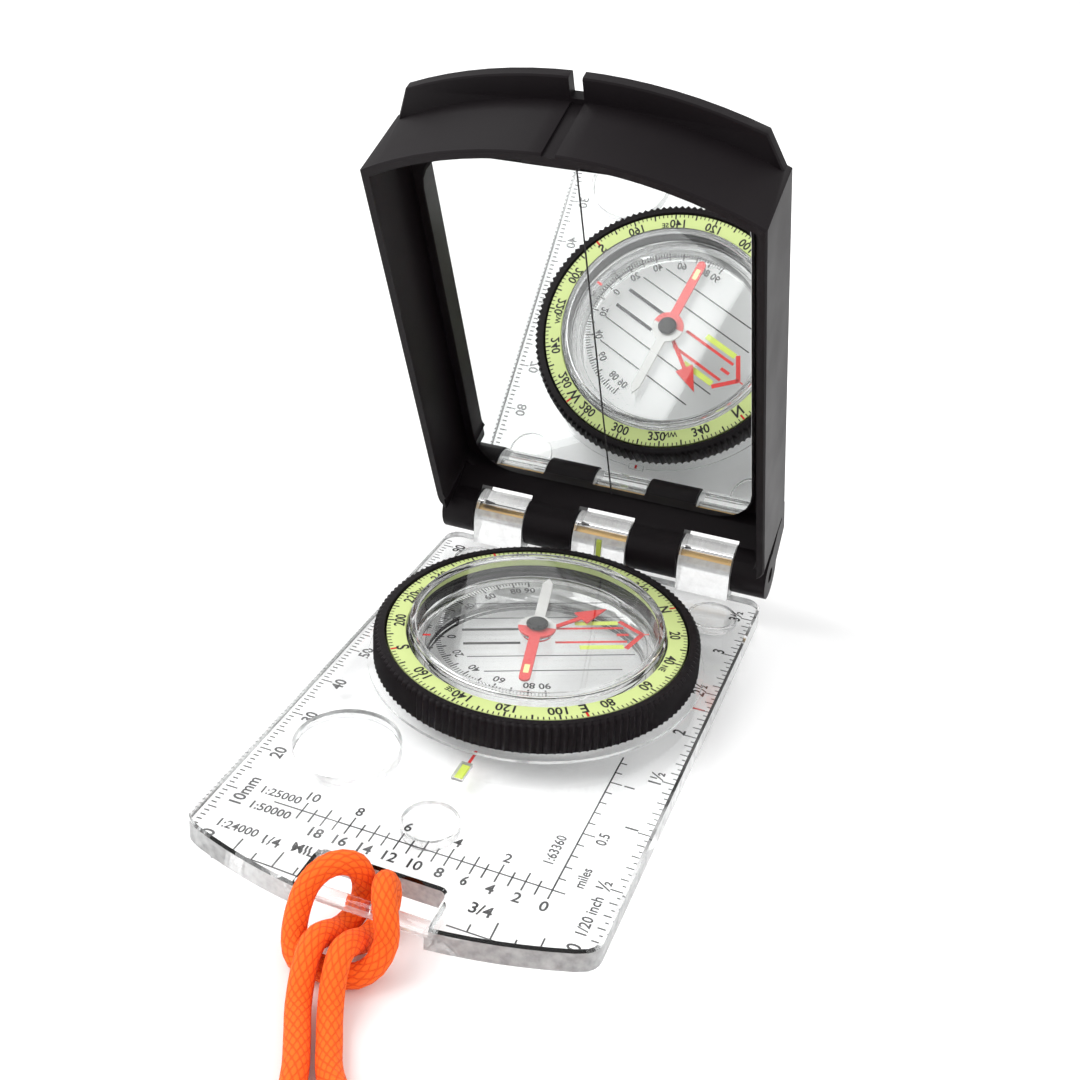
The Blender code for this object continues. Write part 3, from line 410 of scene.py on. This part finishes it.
def swept(name, route, radius, material):
    """A round tube along the route, made a mesh that keeps the curve's UVs.

    The tube has flat caps, and the first UV runs along it while the second runs round it."""
    curve = bpy.data.curves.new(name, "CURVE")
    curve.dimensions = "3D"
    curve.bevel_depth = radius * MM
    curve.bevel_resolution = 4
    curve.use_fill_caps = True
    line = curve.splines.new("POLY")
    line.points.add(len(route) - 1)
    for point, place in zip(line.points, route):
        point.co = (*place, 1.0)
    guide = bpy.data.objects.new(name + "_guide", curve)
    mesh = bpy.data.meshes.new_from_object(guide)
    bpy.data.objects.remove(guide)
    mesh.materials.clear()
    mesh.materials.append(material)
    mesh.shade_smooth()
    ob = bpy.data.objects.new(name, mesh)
    bpy.context.collection.objects.link(ob)
    return ob


def settle(ob, body, slot, *nodes):
    """Say what a finished piece rides on and stands for; the slot it is given is not used."""
    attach(ob, body)
    if nodes:
        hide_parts(*nodes)
    return ob


left_cord = swept("cord_left", left_route, CORD_RADIUS, braid("braid_left", left_length))
right_cord = swept("cord_right", right_route, CORD_RADIUS, braid("braid_right", right_length))
settle(left_cord, "base", "orange_cord", "lanyard_left", "lanyard_coil")
settle(right_cord, "base", "orange_cord", "lanyard_right")
print("cord faces:", len(left_cord.data.polygons), len(right_cord.data.polygons))

# %% [markdown]
# ## The knot
# Both ends meet in an overhand knot. Its shape is a trefoil: a closed line that goes
# twice round while it weaves in and out three times. A cord swept along it makes a
# small tight lump, as such a knot is.

# %% Knot
KNOT_RING = 2.7
KNOT_RISE = 1.5
KNOT_STEPS = 72


def trefoil(centre):
    route = []
    for i in range(KNOT_STEPS + 1):
        t = math.tau * i / KNOT_STEPS
        ring = KNOT_RING / 3 * (2 + math.cos(3 * t))
        place = Vector((ring * math.cos(2 * t), ring * math.sin(2 * t), KNOT_RISE * math.sin(3 * t)))
        route.append(plate_space @ (centre + place))
    return route


knot_low, knot_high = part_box("lanyard_knot")
knot_middle = to_plate @ ((knot_low + knot_high) / 2)
knot_route = trefoil(knot_middle)
knot = swept("cord_knot", knot_route, CORD_RADIUS, braid("braid_knot", run_length(knot_route)))
settle(knot, "base", "orange_cord", "lanyard_knot")
print("knot at", [round(c, 1) for c in knot_middle])

# %% [markdown]
# ## Carrying the moulded pieces over
# The frame's meshes are loose triangles with knife edges. A copy is merged, its flat
# faces are dissolved into single ones, and a small Bevel modifier rounds the rims, as a
# mould does. The copy stands for the frame's own piece.

# %% Carry a frame piece over
SHARP_DEGREES = 32      # a sharper turn than this between two faces is an edge
FLAT_DEGREES = 0.5      # faces that turn less than this are one flat face
MERGE = 0.001 * MM      # points closer than this are one point
body_names = {node: body for body, nodes in frame["record"]["behaviour"]["bodies"].items()
              for node in nodes}


def carry(node, material, slot, rim=0.0):
    """A merged copy of a frame piece with its own finish and its rims rounded by `rim` mm."""
    source = frame["nodes"][node]
    bm = bmesh.new()
    bm.from_mesh(source.data)
    bmesh.ops.remove_doubles(bm, verts=bm.verts, dist=MERGE)
    bmesh.ops.dissolve_limit(bm, angle_limit=math.radians(FLAT_DEGREES), verts=bm.verts, edges=bm.edges)
    mesh = bpy.data.meshes.new(node + "_part")
    bm.to_mesh(mesh)
    bm.free()
    mesh.materials.append(material)
    mesh.shade_smooth()
    mesh.set_sharp_from_angle(angle=math.radians(SHARP_DEGREES))
    ob = bpy.data.objects.new(node + "_part", mesh)
    bpy.context.collection.objects.link(ob)
    if rim:
        rounding = ob.modifiers.new("rounded rims", "BEVEL")
        rounding.width = rim * MM
        rounding.segments = 2
        rounding.limit_method = "ANGLE"
        rounding.angle_limit = math.radians(SHARP_DEGREES)
    return settle(ob, body_names[node], slot, node)


print("bodies:", sorted(set(body_names.values())))

# %% [markdown]
# Each piece takes its finish and the radius of its rims in millimetres. Thin sheets get
# the smallest radii, and the cover, the hinge pin and the soft feet the largest. The
# dial's black ring, the lens and the needle have cells of their own further down.

# %% Pieces with their finishes
carry("baseplate", acrylic, "clear_acrylic", 0.12)
carry("capsule_cup", capsule_clear, "clear_acrylic", 0.1)
carry("capsule_lid", capsule_clear, "clear_acrylic", 0.1)
carry("cover_shell", black_plastic, "black_plastic", 0.22)
carry("capsule_retainer", black_plastic, "black_plastic", 0.1)
carry("hinge_pin", brass, "brass", 0.2)
carry("detent_spring", steel, "spring_steel", 0.08)
carry("pivot_pin", steel, "spring_steel")
carry("needle_magnet", steel, "spring_steel", 0.05)
carry("needle_cap", black_gloss, "black_plastic", 0.12)
carry("orienting_disc", film, "printed_film", 0.04)
carry("clinometer_pointer", red_ink, "red_paint", 0.04)
carry("near_index_lume", lume, "luminous_plastic", 0.08)
carry("far_index_lume", lume, "luminous_plastic", 0.08)
carry("dial_ring", dial_plastic, "green_dial_plastic", 0.12)
carry("mirror", mirror_glass, "mirror_glass", 0.08)
carry("mirror_pad", foam, "adhesive_foam", 0.08)
for foot in ("front_foot", "rear_left_foot", "rear_right_foot"):
    carry(foot, silicone, "grey_silicone", 0.25)

# %% [markdown]
# ## Spinning round pieces
# A turned shape is a profile spun about its axis. `spun` draws the profile's points
# once and lets the spin operator make the rest, then closes its seam.

# %% Spin helper
ON_AXIS = 1e-6      # a smaller radius than this counts as the axis itself
SEAM = 0.0005       # points closer than this, in mm, are merged


def add_piece(name, bm, space, material, body, slot, *nodes):
    """Put a finished mesh in its place in the frame."""
    bmesh.ops.transform(bm, matrix=space, verts=bm.verts)
    mesh = bpy.data.meshes.new(name)
    bm.to_mesh(mesh)
    bm.free()
    mesh.materials.append(material)
    ob = bpy.data.objects.new(name, mesh)
    bpy.context.collection.objects.link(ob)
    return settle(ob, body, slot, *nodes)


def spun(profile, steps):
    """Mesh of a closed (radius, height) profile spun about the vertical axis.

    An edge that lies on the axis is left out, because it would only make a line there."""
    bm = bmesh.new()
    verts = [bm.verts.new((r, 0, z)) for r, z in profile]
    pairs = zip(verts, verts[1:] + verts[:1])
    edges = [bm.edges.new(pair) for pair in pairs if max(v.co.x for v in pair) > ON_AXIS]
    bmesh.ops.spin(bm, geom=verts + edges, cent=(0, 0, 0), axis=(0, 0, 1),
                   angle=math.tau, steps=steps, use_merge=True)
    bmesh.ops.remove_doubles(bm, verts=bm.verts, dist=SEAM)
    bmesh.ops.recalc_face_normals(bm, faces=bm.faces)
    return bm


def smooth(ob, angle=SHARP_DEGREES):
    ob.data.shade_smooth()
    ob.data.set_sharp_from_angle(angle=math.radians(angle))


print("spin helper ready")

# %% [markdown]
# ## The ribbed dial
# Fingers turn the dial by fine upright ribs moulded round its side. The plain ring is
# spun first, with four columns of points to a rib. Its side is then drawn in by a wave
# that has one crest to a rib. The waves run out through the top edge, which scallops it.

# %% Bezel
RIBS = 132
RIB_DEPTH = 0.55
RIB_COLUMNS = 4         # columns of points to a rib
FIT = 0.3               # play between the ring and what sits in it
GROOVE_WIDTH = 2.0
GROOVE_DEPTH = 1.0


def plate_box(node):
    """Lowest and highest corner of a frame piece in the plate's millimetres."""
    return [to_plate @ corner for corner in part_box(node)]


def radius_of(node):
    node_low, node_high = plate_box(node)
    return (node_high.x - node_low.x) / 2


bezel_low, bezel_high = plate_box("bezel")
ring_low, ring_high = plate_box("dial_ring")
rim = radius_of("bezel")
seat_radius = radius_of("dial_ring") + FIT
bore = radius_of("capsule_cup") + FIT
groove_out = radius_of("detent_spring") + FIT
groove_in = groove_out - GROOVE_WIDTH
low, high, shelf = bezel_low.z, bezel_high.z, ring_low.z - FIT
groove_top = low + GROOVE_DEPTH
bezel_profile = [
    (bore, low), (groove_in, low), (groove_in, groove_top), (groove_out, groove_top),
    (groove_out, low), (rim - 0.55, low), (rim - 0.12, low + 0.2), (rim, low + 0.55),
    (rim, high - 0.75), (rim - 0.16, high - 0.3), (rim - 0.5, high - 0.08),
    (rim - 0.85, high), (seat_radius + 0.15, high), (seat_radius, high - 0.15),
    (seat_radius, shelf), (bore, shelf),
]
bm = spun(bezel_profile, RIBS * RIB_COLUMNS)
for vert in bm.verts:
    reach = math.hypot(vert.co.x, vert.co.y)
    if reach > rim - 0.6 and vert.co.z > low + 0.1:
        wave = math.cos(math.atan2(vert.co.y, vert.co.x) * RIBS)
        pull = 1 - RIB_DEPTH * (1 - wave) / 2 / reach
        vert.co.x *= pull
        vert.co.y *= pull
dial_space = plate_space @ Matrix.Translation((0, DIAL_Y, 0))
bezel = add_piece("ribbed_bezel", bm, dial_space, black_plastic, "dial", "black_plastic", "bezel")
smooth(bezel, 40)
print("bezel of", RIBS, "ribs,", len(bezel.data.polygons), "faces")

# %% [markdown]
# ## The magnifier
# It is a plano-convex lens, flat below and gently domed above. The dome is an arc of a
# large circle, drawn with enough points that no facets show through it.

# %% Lens
LENS_CROWN = 0.7        # height of the dome above the lens's edge
LENS_RINGS = 24
LENS_CHAMFER = 0.15
lens_low, lens_high = plate_box("magnifier_lens")
lens_radius = radius_of("magnifier_lens")
lens_edge = lens_high.z - LENS_CROWN
crown = (lens_radius ** 2 + LENS_CROWN ** 2) / (2 * LENS_CROWN)
lens_profile = [(0, lens_low.z), (lens_radius - LENS_CHAMFER, lens_low.z),
                (lens_radius, lens_low.z + LENS_CHAMFER)]
for i in range(LENS_RINGS + 1):
    r = lens_radius * (1 - i / LENS_RINGS)
    lens_profile.append((r, lens_edge + LENS_CROWN - crown + math.sqrt(crown ** 2 - r * r)))
lens_centre = Matrix.Translation(((lens_low.x + lens_high.x) / 2, (lens_low.y + lens_high.y) / 2, 0))
magnifier = add_piece("magnifier", spun(lens_profile, 72), plate_space @ lens_centre,
                      acrylic, "base", "clear_acrylic", "magnifier_lens")
smooth(magnifier)
print("lens", round(2 * lens_radius, 1), "mm across, dome radius", round(crown, 1), "mm")

# %% [markdown]
# ## The needle
# One half is red with a small glowing window near its point, the other is pale grey. The
# two coats are brushed on the same flat blade, so one finish tells them apart by how far
# a point lies along the needle from its pivot.

# %% Needle finish
RED_END = math.radians(166.8)       # the red half's direction, clockwise from the line of sight
COAT_EDGE = 0.2                     # the red coat starts this far from the pivot
WINDOW_START, WINDOW_END, WINDOW_HALF = 11.6, 14.0, 0.45
magnet_low, magnet_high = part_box("needle_magnet")
pivot = (magnet_low + magnet_high) / 2
coat = Finish("needle_paint", (0.6, 0.6, 0.59), 0.4)
offset = coat.node("ShaderNodeVectorMath", {"operation": "SUBTRACT"},
                   {0: coat.place(), 1: tuple(pivot)})


def reading(direction):
    """How far a point of the needle lies along one direction, in metres."""
    return coat.node("ShaderNodeVectorMath", {"operation": "DOT_PRODUCT"},
                     {0: offset, 1: direction}, out="Value")


forward = (math.sin(RED_END), math.cos(RED_END), 0)
run = reading(forward)
side = abs(reading((forward[1], -forward[0], 0)))
window = (run > WINDOW_START * MM) * (run < WINDOW_END * MM) * (side < WINDOW_HALF * MM)
speck = coat.noise(1800.0, 2.0)
painted = coat.blend(run > COAT_EDGE * MM, (0.56, 0.56, 0.545), (0.60, 0.010, 0.009))
painted = coat.blend(window, painted, (0.70, 0.76, 0.30))
coat.feed("Base Color", coat.blend(speck * 0.12, painted, (0.85, 0.85, 0.85)))
coat.feed("Roughness", 0.36 + speck * 0.1)
coat.relief(speck, 0.00001, 0.4)
carry("needle", coat.material, "needle_paint", 0.06)
print("needle turns about", [round(c / MM, 1) for c in pivot])

# %% [markdown]
# ## Ink
# Scales are hot-stamped ink, a few hundredths of a millimetre thick. Each group of marks
# is one flat mesh: strokes are stretched grids and figures are text curves turned into
# meshes. They lie just under the plate or just above the dial.

# %% Strokes and figures
INK_GAP = 0.03
FONT_HEIGHT = 0.70      # height of a capital for a text size of 1
FIGURE_STRETCH = 0.95   # figures are a little narrower than the font's
FIGURE_WEIGHT = 0.03    # and bolder, as a share of their height


class Ink:
    """One printed group of strokes and figures."""

    def __init__(self, level):
        self.bm = bmesh.new()
        self.level = level

    def stroke(self, start, end, width):
        a, b = Vector(start), Vector(end)
        along = b - a
        turn = Matrix.Rotation(math.atan2(along.y, along.x), 4, "Z")
        place = Matrix.Translation(((a.x + b.x) / 2, (a.y + b.y) / 2, self.level))
        shape = Matrix.Diagonal((along.length, width, 1, 1))
        bmesh.ops.create_grid(self.bm, x_segments=1, y_segments=1, size=0.5,
                              matrix=place @ turn @ shape)

    def spoke(self, angle, inner, outer, width):
        """A stroke that points away from the dial's centre."""
        a = math.radians(angle)
        away = Vector((math.sin(a), math.cos(a)))
        centre = Vector((0.0, DIAL_Y))
        self.stroke(centre + away * inner, centre + away * outer, width)

    def figure(self, words, place, height, angle=0.0):
        """Text centred on a place, turned clockwise by an angle in degrees."""
        curve = bpy.data.curves.new("figure", "FONT")
        curve.body = words
        curve.size = height / FONT_HEIGHT
        curve.align_x = "CENTER"
        curve.align_y = "CENTER"
        curve.resolution_u = 3
        curve.offset = FIGURE_WEIGHT * height
        holder = bpy.data.objects.new("figure", curve)
        mesh = bpy.data.meshes.new_from_object(holder)
        where = Matrix.Translation((place[0], place[1], self.level))
        mesh.transform(where @ Matrix.Rotation(-math.radians(angle), 4, "Z")
                       @ Matrix.Diagonal((FIGURE_STRETCH, 1, 1, 1)))
        self.bm.from_mesh(mesh)
        bpy.data.objects.remove(holder)
        bpy.data.curves.remove(curve)
        bpy.data.meshes.remove(mesh)

    def round_figure(self, words, angle, radius, height):
        """Text that stands on a circle round the dial's centre, with its foot inwards."""
        a = math.radians(angle)
        self.figure(words, (radius * math.sin(a), DIAL_Y + radius * math.cos(a)), height, angle)

    def dry(self, name, material, slot, body):
        """Turn every face up and make the group a piece."""
        for face in self.bm.faces:
            if face.normal.z < 0:
                face.normal_flip()
        ob = add_piece(name, self.bm, plate_space, material, body, slot)
        print(name, len(ob.data.polygons), "faces")


def tick_length(step, lengths):
    """The length of a ruler's tick: the first whose spacing divides the step."""
    return next(length for spacing, length in lengths if step % spacing == 0)


print("ink lies", INK_GAP, "mm off its surface")

# %% [markdown]
# ## Rulers and map scales
# The plate's left edge is ruled in millimetres and its right edge in twentieths of an
# inch. Between them are romer scales for the usual map scales. Each is a baseline with
# ticks whose spacing follows from the map scale itself.

# %% Millimetre and inch rulers
HAIR = 0.26
INCH = 25.4
SIDEWAYS = -90          # the turn of figures that are read from the plate's right
LEFT_ZERO, RIGHT_ZERO = -9.69, -9.19
LEFT_EDGE, RIGHT_EDGE = -31.6, 31.5
RULER_FIGURES_X = 28.2
MM_STEPS, INCH_STEPS = 92, 72
MM_TICKS = ((10, 2.0), (5, 1.5), (1, 0.9))
INCH_TICKS = ((10, 2.4), (2, 1.7), (1, 1.0))
underside = plate_box("baseplate")[0].z - INK_GAP
rulers = Ink(underside)
for step in range(MM_STEPS + 1):
    y = LEFT_ZERO + step
    rulers.stroke((LEFT_EDGE, y), (LEFT_EDGE + tick_length(step, MM_TICKS), y), HAIR)
for step in range(10):
    words = "10mm" if step == 1 else str(step * 10)
    rulers.figure(words, (-RULER_FIGURES_X, LEFT_ZERO + step * 10), 2.0, SIDEWAYS)
for step in range(INCH_STEPS + 1):
    y = RIGHT_ZERO + step * INCH / 20
    rulers.stroke((RIGHT_EDGE, y), (RIGHT_EDGE - tick_length(step, INCH_TICKS), y), HAIR)
halves = ("0", "½", "1", "1½", "2", "2½", "3", "3½")
for i, words in enumerate(halves):
    rulers.figure(words, (RULER_FIGURES_X, RIGHT_ZERO + i * INCH / 2 + 0.4), 2.0, SIDEWAYS)
rulers.figure("1/20 inch", (RULER_FIGURES_X, RIGHT_ZERO + 6.6), 1.6, SIDEWAYS)
print("rulers of", MM_STEPS, "mm and", INCH_STEPS / 20, "inches")

# %% [markdown]
# A romer is a corner with a scale on each arm, laid on a map to read a place. The front
# arm has ticks for two metric map scales, one above the line and one below it, and the
# side arm counts tenths of a mile. The front edge carries a mile scale that the slot
# for the lanyard interrupts.

# %% Romer scales
CORNER_X = 21.8         # the arms meet here, and the front arm lies on the line y = 0
ARM_END_X, ARM_END_Y = -23.0, 32
ROMER_STEP = 2          # 50 m at 1:25000 and 100 m at 1:50000
ROMER_TICKS = ((2, 1.9), (1, 1.1))
MILE = INCH             # 1:63360 is one inch to the mile
MILE_TICKS = ((5, 1.9), (1, 1.1))
MILE_FIGURES_X = 25.0
for step in range(21):
    x = CORNER_X - ROMER_STEP * step
    rulers.stroke((x, -1.9), (x, tick_length(step, ROMER_TICKS)), HAIR)
rulers.stroke((ARM_END_X, 0), (CORNER_X, 0), HAIR)
for value in range(2, 11, 2):
    rulers.figure(str(value), (CORNER_X - 2 * ROMER_STEP * value, 3.2), 1.8)
for value in range(0, 19, 2):
    rulers.figure(str(value), (CORNER_X - ROMER_STEP * value, -3.5), 1.9)
rulers.figure("1:25000", (-22.9, 1.7), 1.6)
rulers.figure("1:50000", (-22.7, -1.9), 1.6)
rulers.stroke((CORNER_X, 0), (CORNER_X, ARM_END_Y), HAIR)
for step in range(13):
    y = step * MILE / 10
    rulers.stroke((CORNER_X, y), (CORNER_X + tick_length(step, MILE_TICKS), y), HAIR)
rulers.figure("1:63360", (19.4, 7.7), 1.5, SIDEWAYS)
rulers.figure("miles", (MILE_FIGURES_X, 4.0), 1.5, SIDEWAYS)
rulers.figure("0.5", (MILE_FIGURES_X, MILE / 2), 1.6, SIDEWAYS)
rulers.figure("1", (MILE_FIGURES_X, MILE), 1.6, SIDEWAYS)

# %% Mile scale of the front edge
FRONT_Y = -12.1
FRONT_START, SLOT_START, SLOT_END, FRONT_END = -26.4, -12.0, 10.9, 24.4
FRONT_STEP = 3.36       # a twentieth of a mile at 1:24000
for start, end in ((FRONT_START, SLOT_START), (SLOT_END, FRONT_END)):
    rulers.stroke((start, FRONT_Y), (end, FRONT_Y), HAIR)
for step in range(16):
    x = FRONT_START + step * FRONT_STEP
    if not SLOT_START <= x <= SLOT_END:
        rulers.stroke((x, FRONT_Y), (x, FRONT_Y + (3.3 if step % 2 else 1.5)), HAIR)
rulers.figure("1:24000", (-25.0, -7.2), 1.6)
rulers.figure("1/4", (-19.2, -7.7), 1.8)
rulers.figure("MILE", (-13.4, -7.3), 1.8)
rulers.figure("3/4", (14.2, -7.7), 2.0)
rulers.dry("plate_scales", black_ink, "black_plastic", "base")

# %% [markdown]
# Red lines show where the dial is read: one before it, one at its right and one on the
# small raised block behind it.

# %% Red index lines
FRONT_LINE = (19.8, 23.4)
SIDE_LINE = (28.3, 30.4)
BLOCK_LINE = (77.95, 78.7)
BLOCK_TOP = 7.1
index = Ink(underside)
index.stroke((0, FRONT_LINE[0]), (0, FRONT_LINE[1]), 0.5)
index.stroke((SIDE_LINE[0], DIAL_Y), (SIDE_LINE[1], DIAL_Y), 0.45)
index.dry("plate_index_lines", red_ink, "red_paint", "base")
block = Ink(BLOCK_TOP + INK_GAP)
block.stroke((0, BLOCK_LINE[0]), (0, BLOCK_LINE[1]), 0.5)
block.dry("block_index_line", red_ink, "red_paint", "base")

# %% [markdown]
# ## The dial's figures
# The ring is divided into 180 strokes, two degrees apart, with longer ones at the tens
# and red ones at the four cardinal points. North stands where the dial was last set, and
# the rest follows from it.

# %% Dial print
NORTH = 50.6
STROKE_END = 25.78
FIGURES_RADIUS = 23.55
POINT_TURN, POINT_RADIUS = 5.2, 23.3        # a small NE, SE, SW or NW stands beside its number
dial_black = Ink(ring_high.z + INK_GAP)
dial_red = Ink(ring_high.z + INK_GAP)
compass_points = {0: "N", 40: "NE", 90: "E", 140: "SE", 180: "S", 220: "SW", 270: "W", 320: "NW"}
for degrees in range(0, 360, 2):
    cardinal = degrees % 90 == 0
    ink = dial_red if cardinal else dial_black
    start = tick_length(degrees, ((10, 24.65), (2, 25.1)))
    width = 0.42 if cardinal else tick_length(degrees, ((10, 0.32), (2, 0.2)))
    ink.spoke(NORTH + degrees, start, STROKE_END, width)
for degrees in sorted(set(range(0, 360, 20)) | set(compass_points)):
    words = compass_points.get(degrees, str(degrees))
    if degrees % 90 == 0:
        dial_black.round_figure(words, NORTH + degrees, FIGURES_RADIUS, 2.1)
    elif degrees in compass_points:
        dial_black.round_figure(str(degrees), NORTH + degrees - 1.5, FIGURES_RADIUS, 1.8)
        dial_black.round_figure(words, NORTH + degrees + POINT_TURN, POINT_RADIUS, 1.1)
    else:
        dial_black.round_figure(words, NORTH + degrees, FIGURES_RADIUS, 1.8)
dial_black.dry("dial_figures", black_ink, "black_plastic", "dial")
dial_red.dry("dial_cardinals", red_ink, "red_paint", "dial")

# %% [markdown]
# ## Orienting lines and the declination scale
# On the disc in the capsule are the lines that are laid along a map's meridians, a red
# outline arrow that the needle is brought into, and a declination scale at its foot.
# Positions are counted along the arrow and across it.

# %% Orienting print
ARROW = 63.8
ARROW_FOOT = ARROW + 180
MERIDIANS = ((-10.3, -10.2, 13.4), (-5.6, -12.8, 15.8), (6.0, -12.3, 16.2), (10.3, -9.7, 13.4))
BARS = 2.1              # how far the two bars of the arrow's shaft stand from its middle
SCALE_OUT = 17.6
arrow = math.radians(ARROW)
disc_top = plate_box("orienting_disc")[1].z + INK_GAP
disc_black = Ink(disc_top)
disc_red = Ink(disc_top)
disc_lume = Ink(disc_top)


def on_disc(along, across):
    """A place on the disc from its distance along the arrow and to its right."""
    return Vector((along * math.sin(arrow) + across * math.cos(arrow),
                   DIAL_Y + along * math.cos(arrow) - across * math.sin(arrow)))


for across, start, end in MERIDIANS:
    disc_black.stroke(on_disc(start, across), on_disc(end, across), 0.26)
for across in (-BARS, BARS):
    disc_black.stroke(on_disc(-12.8, across), on_disc(-3.0, across), 0.7)
    disc_red.stroke(on_disc(3.0, across), on_disc(15.4, across), 0.6)
    disc_lume.stroke(on_disc(7.0, across * 1.75), on_disc(14.6, across * 1.75), 1.2)
    disc_red.stroke(on_disc(18.4, 0), on_disc(14.9, across * 2.0), 0.9)
disc_red.stroke(on_disc(13.9, 0), on_disc(16.0, 0), 0.7)
disc_red.stroke(on_disc(18.3, 0), on_disc(19.6, 0), 0.3)
disc_red.spoke(ARROW_FOOT + 2, 18.3, 19.6, 0.5)
for degrees in range(-90, 91, 2):
    start = tick_length(degrees, ((10, 15.9), (2, 16.6)))
    width = tick_length(degrees, ((10, 0.3), (2, 0.2)))
    disc_black.spoke(ARROW_FOOT + degrees, start, SCALE_OUT, width)
for degrees in (-90, -80, -60, -40, -20, 0, 20, 40, 60, 80, 90):
    disc_black.round_figure(str(abs(degrees)), ARROW_FOOT + degrees, 14.6, 1.5)
disc_black.round_figure("W", ARROW_FOOT + 10, 18.7, 1.0)
disc_black.round_figure("E", ARROW_FOOT - 10, 18.7, 1.0)
disc_black.dry("disc_lines", black_ink, "black_plastic", "orienting")
disc_red.dry("disc_arrow", red_ink, "red_paint", "orienting")
disc_lume.dry("disc_lume", lume, "luminous_plastic", "orienting")

# %% [markdown]
# ## The sighting line
# A fine black line divides the mirror, and the user lines it up with the pivot. It is a
# strip of ink on the glass, placed in the cover's own leaning frame.

# %% Line on the mirror
MIRROR_FACE = -5.45
SIGHT_FOOT, SIGHT_HEAD = 6.8, 84.7
sight = Ink(MIRROR_FACE + INK_GAP)
sight.stroke((0, SIGHT_FOOT), (0, SIGHT_HEAD), 0.32)
sight_line = add_piece("sighting_line", sight.bm, cover_space, black_ink, "cover", "black_plastic")
print("sighting line", [round(x / MM, 1) for x in sight_line.data.vertices[0].co])

# %% [markdown]
# ## Floor and light
# The compass lies on plain white paper, a hair below its soft feet and its cord. A flat
# grid in metres is enough for it.

# %% Floor
FLOOR_SIZE = 2.5
FLOOR_DROP = 0.3 * MM
paper = Finish("paper", (0.93, 0.93, 0.93), 0.9, Specular_IOR_Level=0.1)
paper.feed("Roughness", 0.85 + paper.noise(300.0, 2.0) * 0.1)
bm = bmesh.new()
bmesh.ops.create_grid(bm, x_segments=4, y_segments=4, size=FLOOR_SIZE,
                      matrix=Matrix.Translation((0, 0, -FLOOR_DROP)))
mesh = bpy.data.meshes.new("floor")
bm.to_mesh(mesh)
bm.free()
mesh.materials.append(paper.material)
floor = bpy.data.objects.new("floor", mesh)
bpy.context.collection.objects.link(floor)
print("floor of", 2 * FLOOR_SIZE, "m")

# %% [markdown]
# A large soft window at the left does most of the work, a weaker one fills from the
# right, and one behind puts a gloss on the cover's edges. A bright sky keeps the clear
# plastic clean, as it has little else to show than what surrounds it.

# %% Lights
SKY_STRENGTH = 0.85
sky = bpy.data.worlds.new("sky")
sky.use_nodes = True
background = sky.node_tree.nodes["Background"]
background.inputs["Color"].default_value = (1.0, 1.0, 1.0, 1.0)
background.inputs["Strength"].default_value = SKY_STRENGTH
bpy.context.scene.world = sky


def window_light(name, place, size, watts):
    """A rectangular area light that faces the origin."""
    lamp = bpy.data.lights.new(name, "AREA")
    lamp.shape = "RECTANGLE"
    lamp.size, lamp.size_y = size
    lamp.energy = watts
    ob = bpy.data.objects.new(name, lamp)
    ob.location = place
    ob.rotation_euler = (-Vector(place)).to_track_quat("-Z", "Y").to_euler()
    bpy.context.collection.objects.link(ob)


window_light("window_left", place=(-0.55, -0.15, 0.75), size=(0.7, 0.7), watts=6.0)
window_light("window_right", place=(0.7, -0.3, 0.5), size=(0.5, 0.5), watts=1.6)
window_light("window_back", place=(0.1, 0.7, 0.6), size=(0.8, 0.4), watts=2.0)
print(len(bpy.data.lights), "windows and a sky of strength", SKY_STRENGTH)
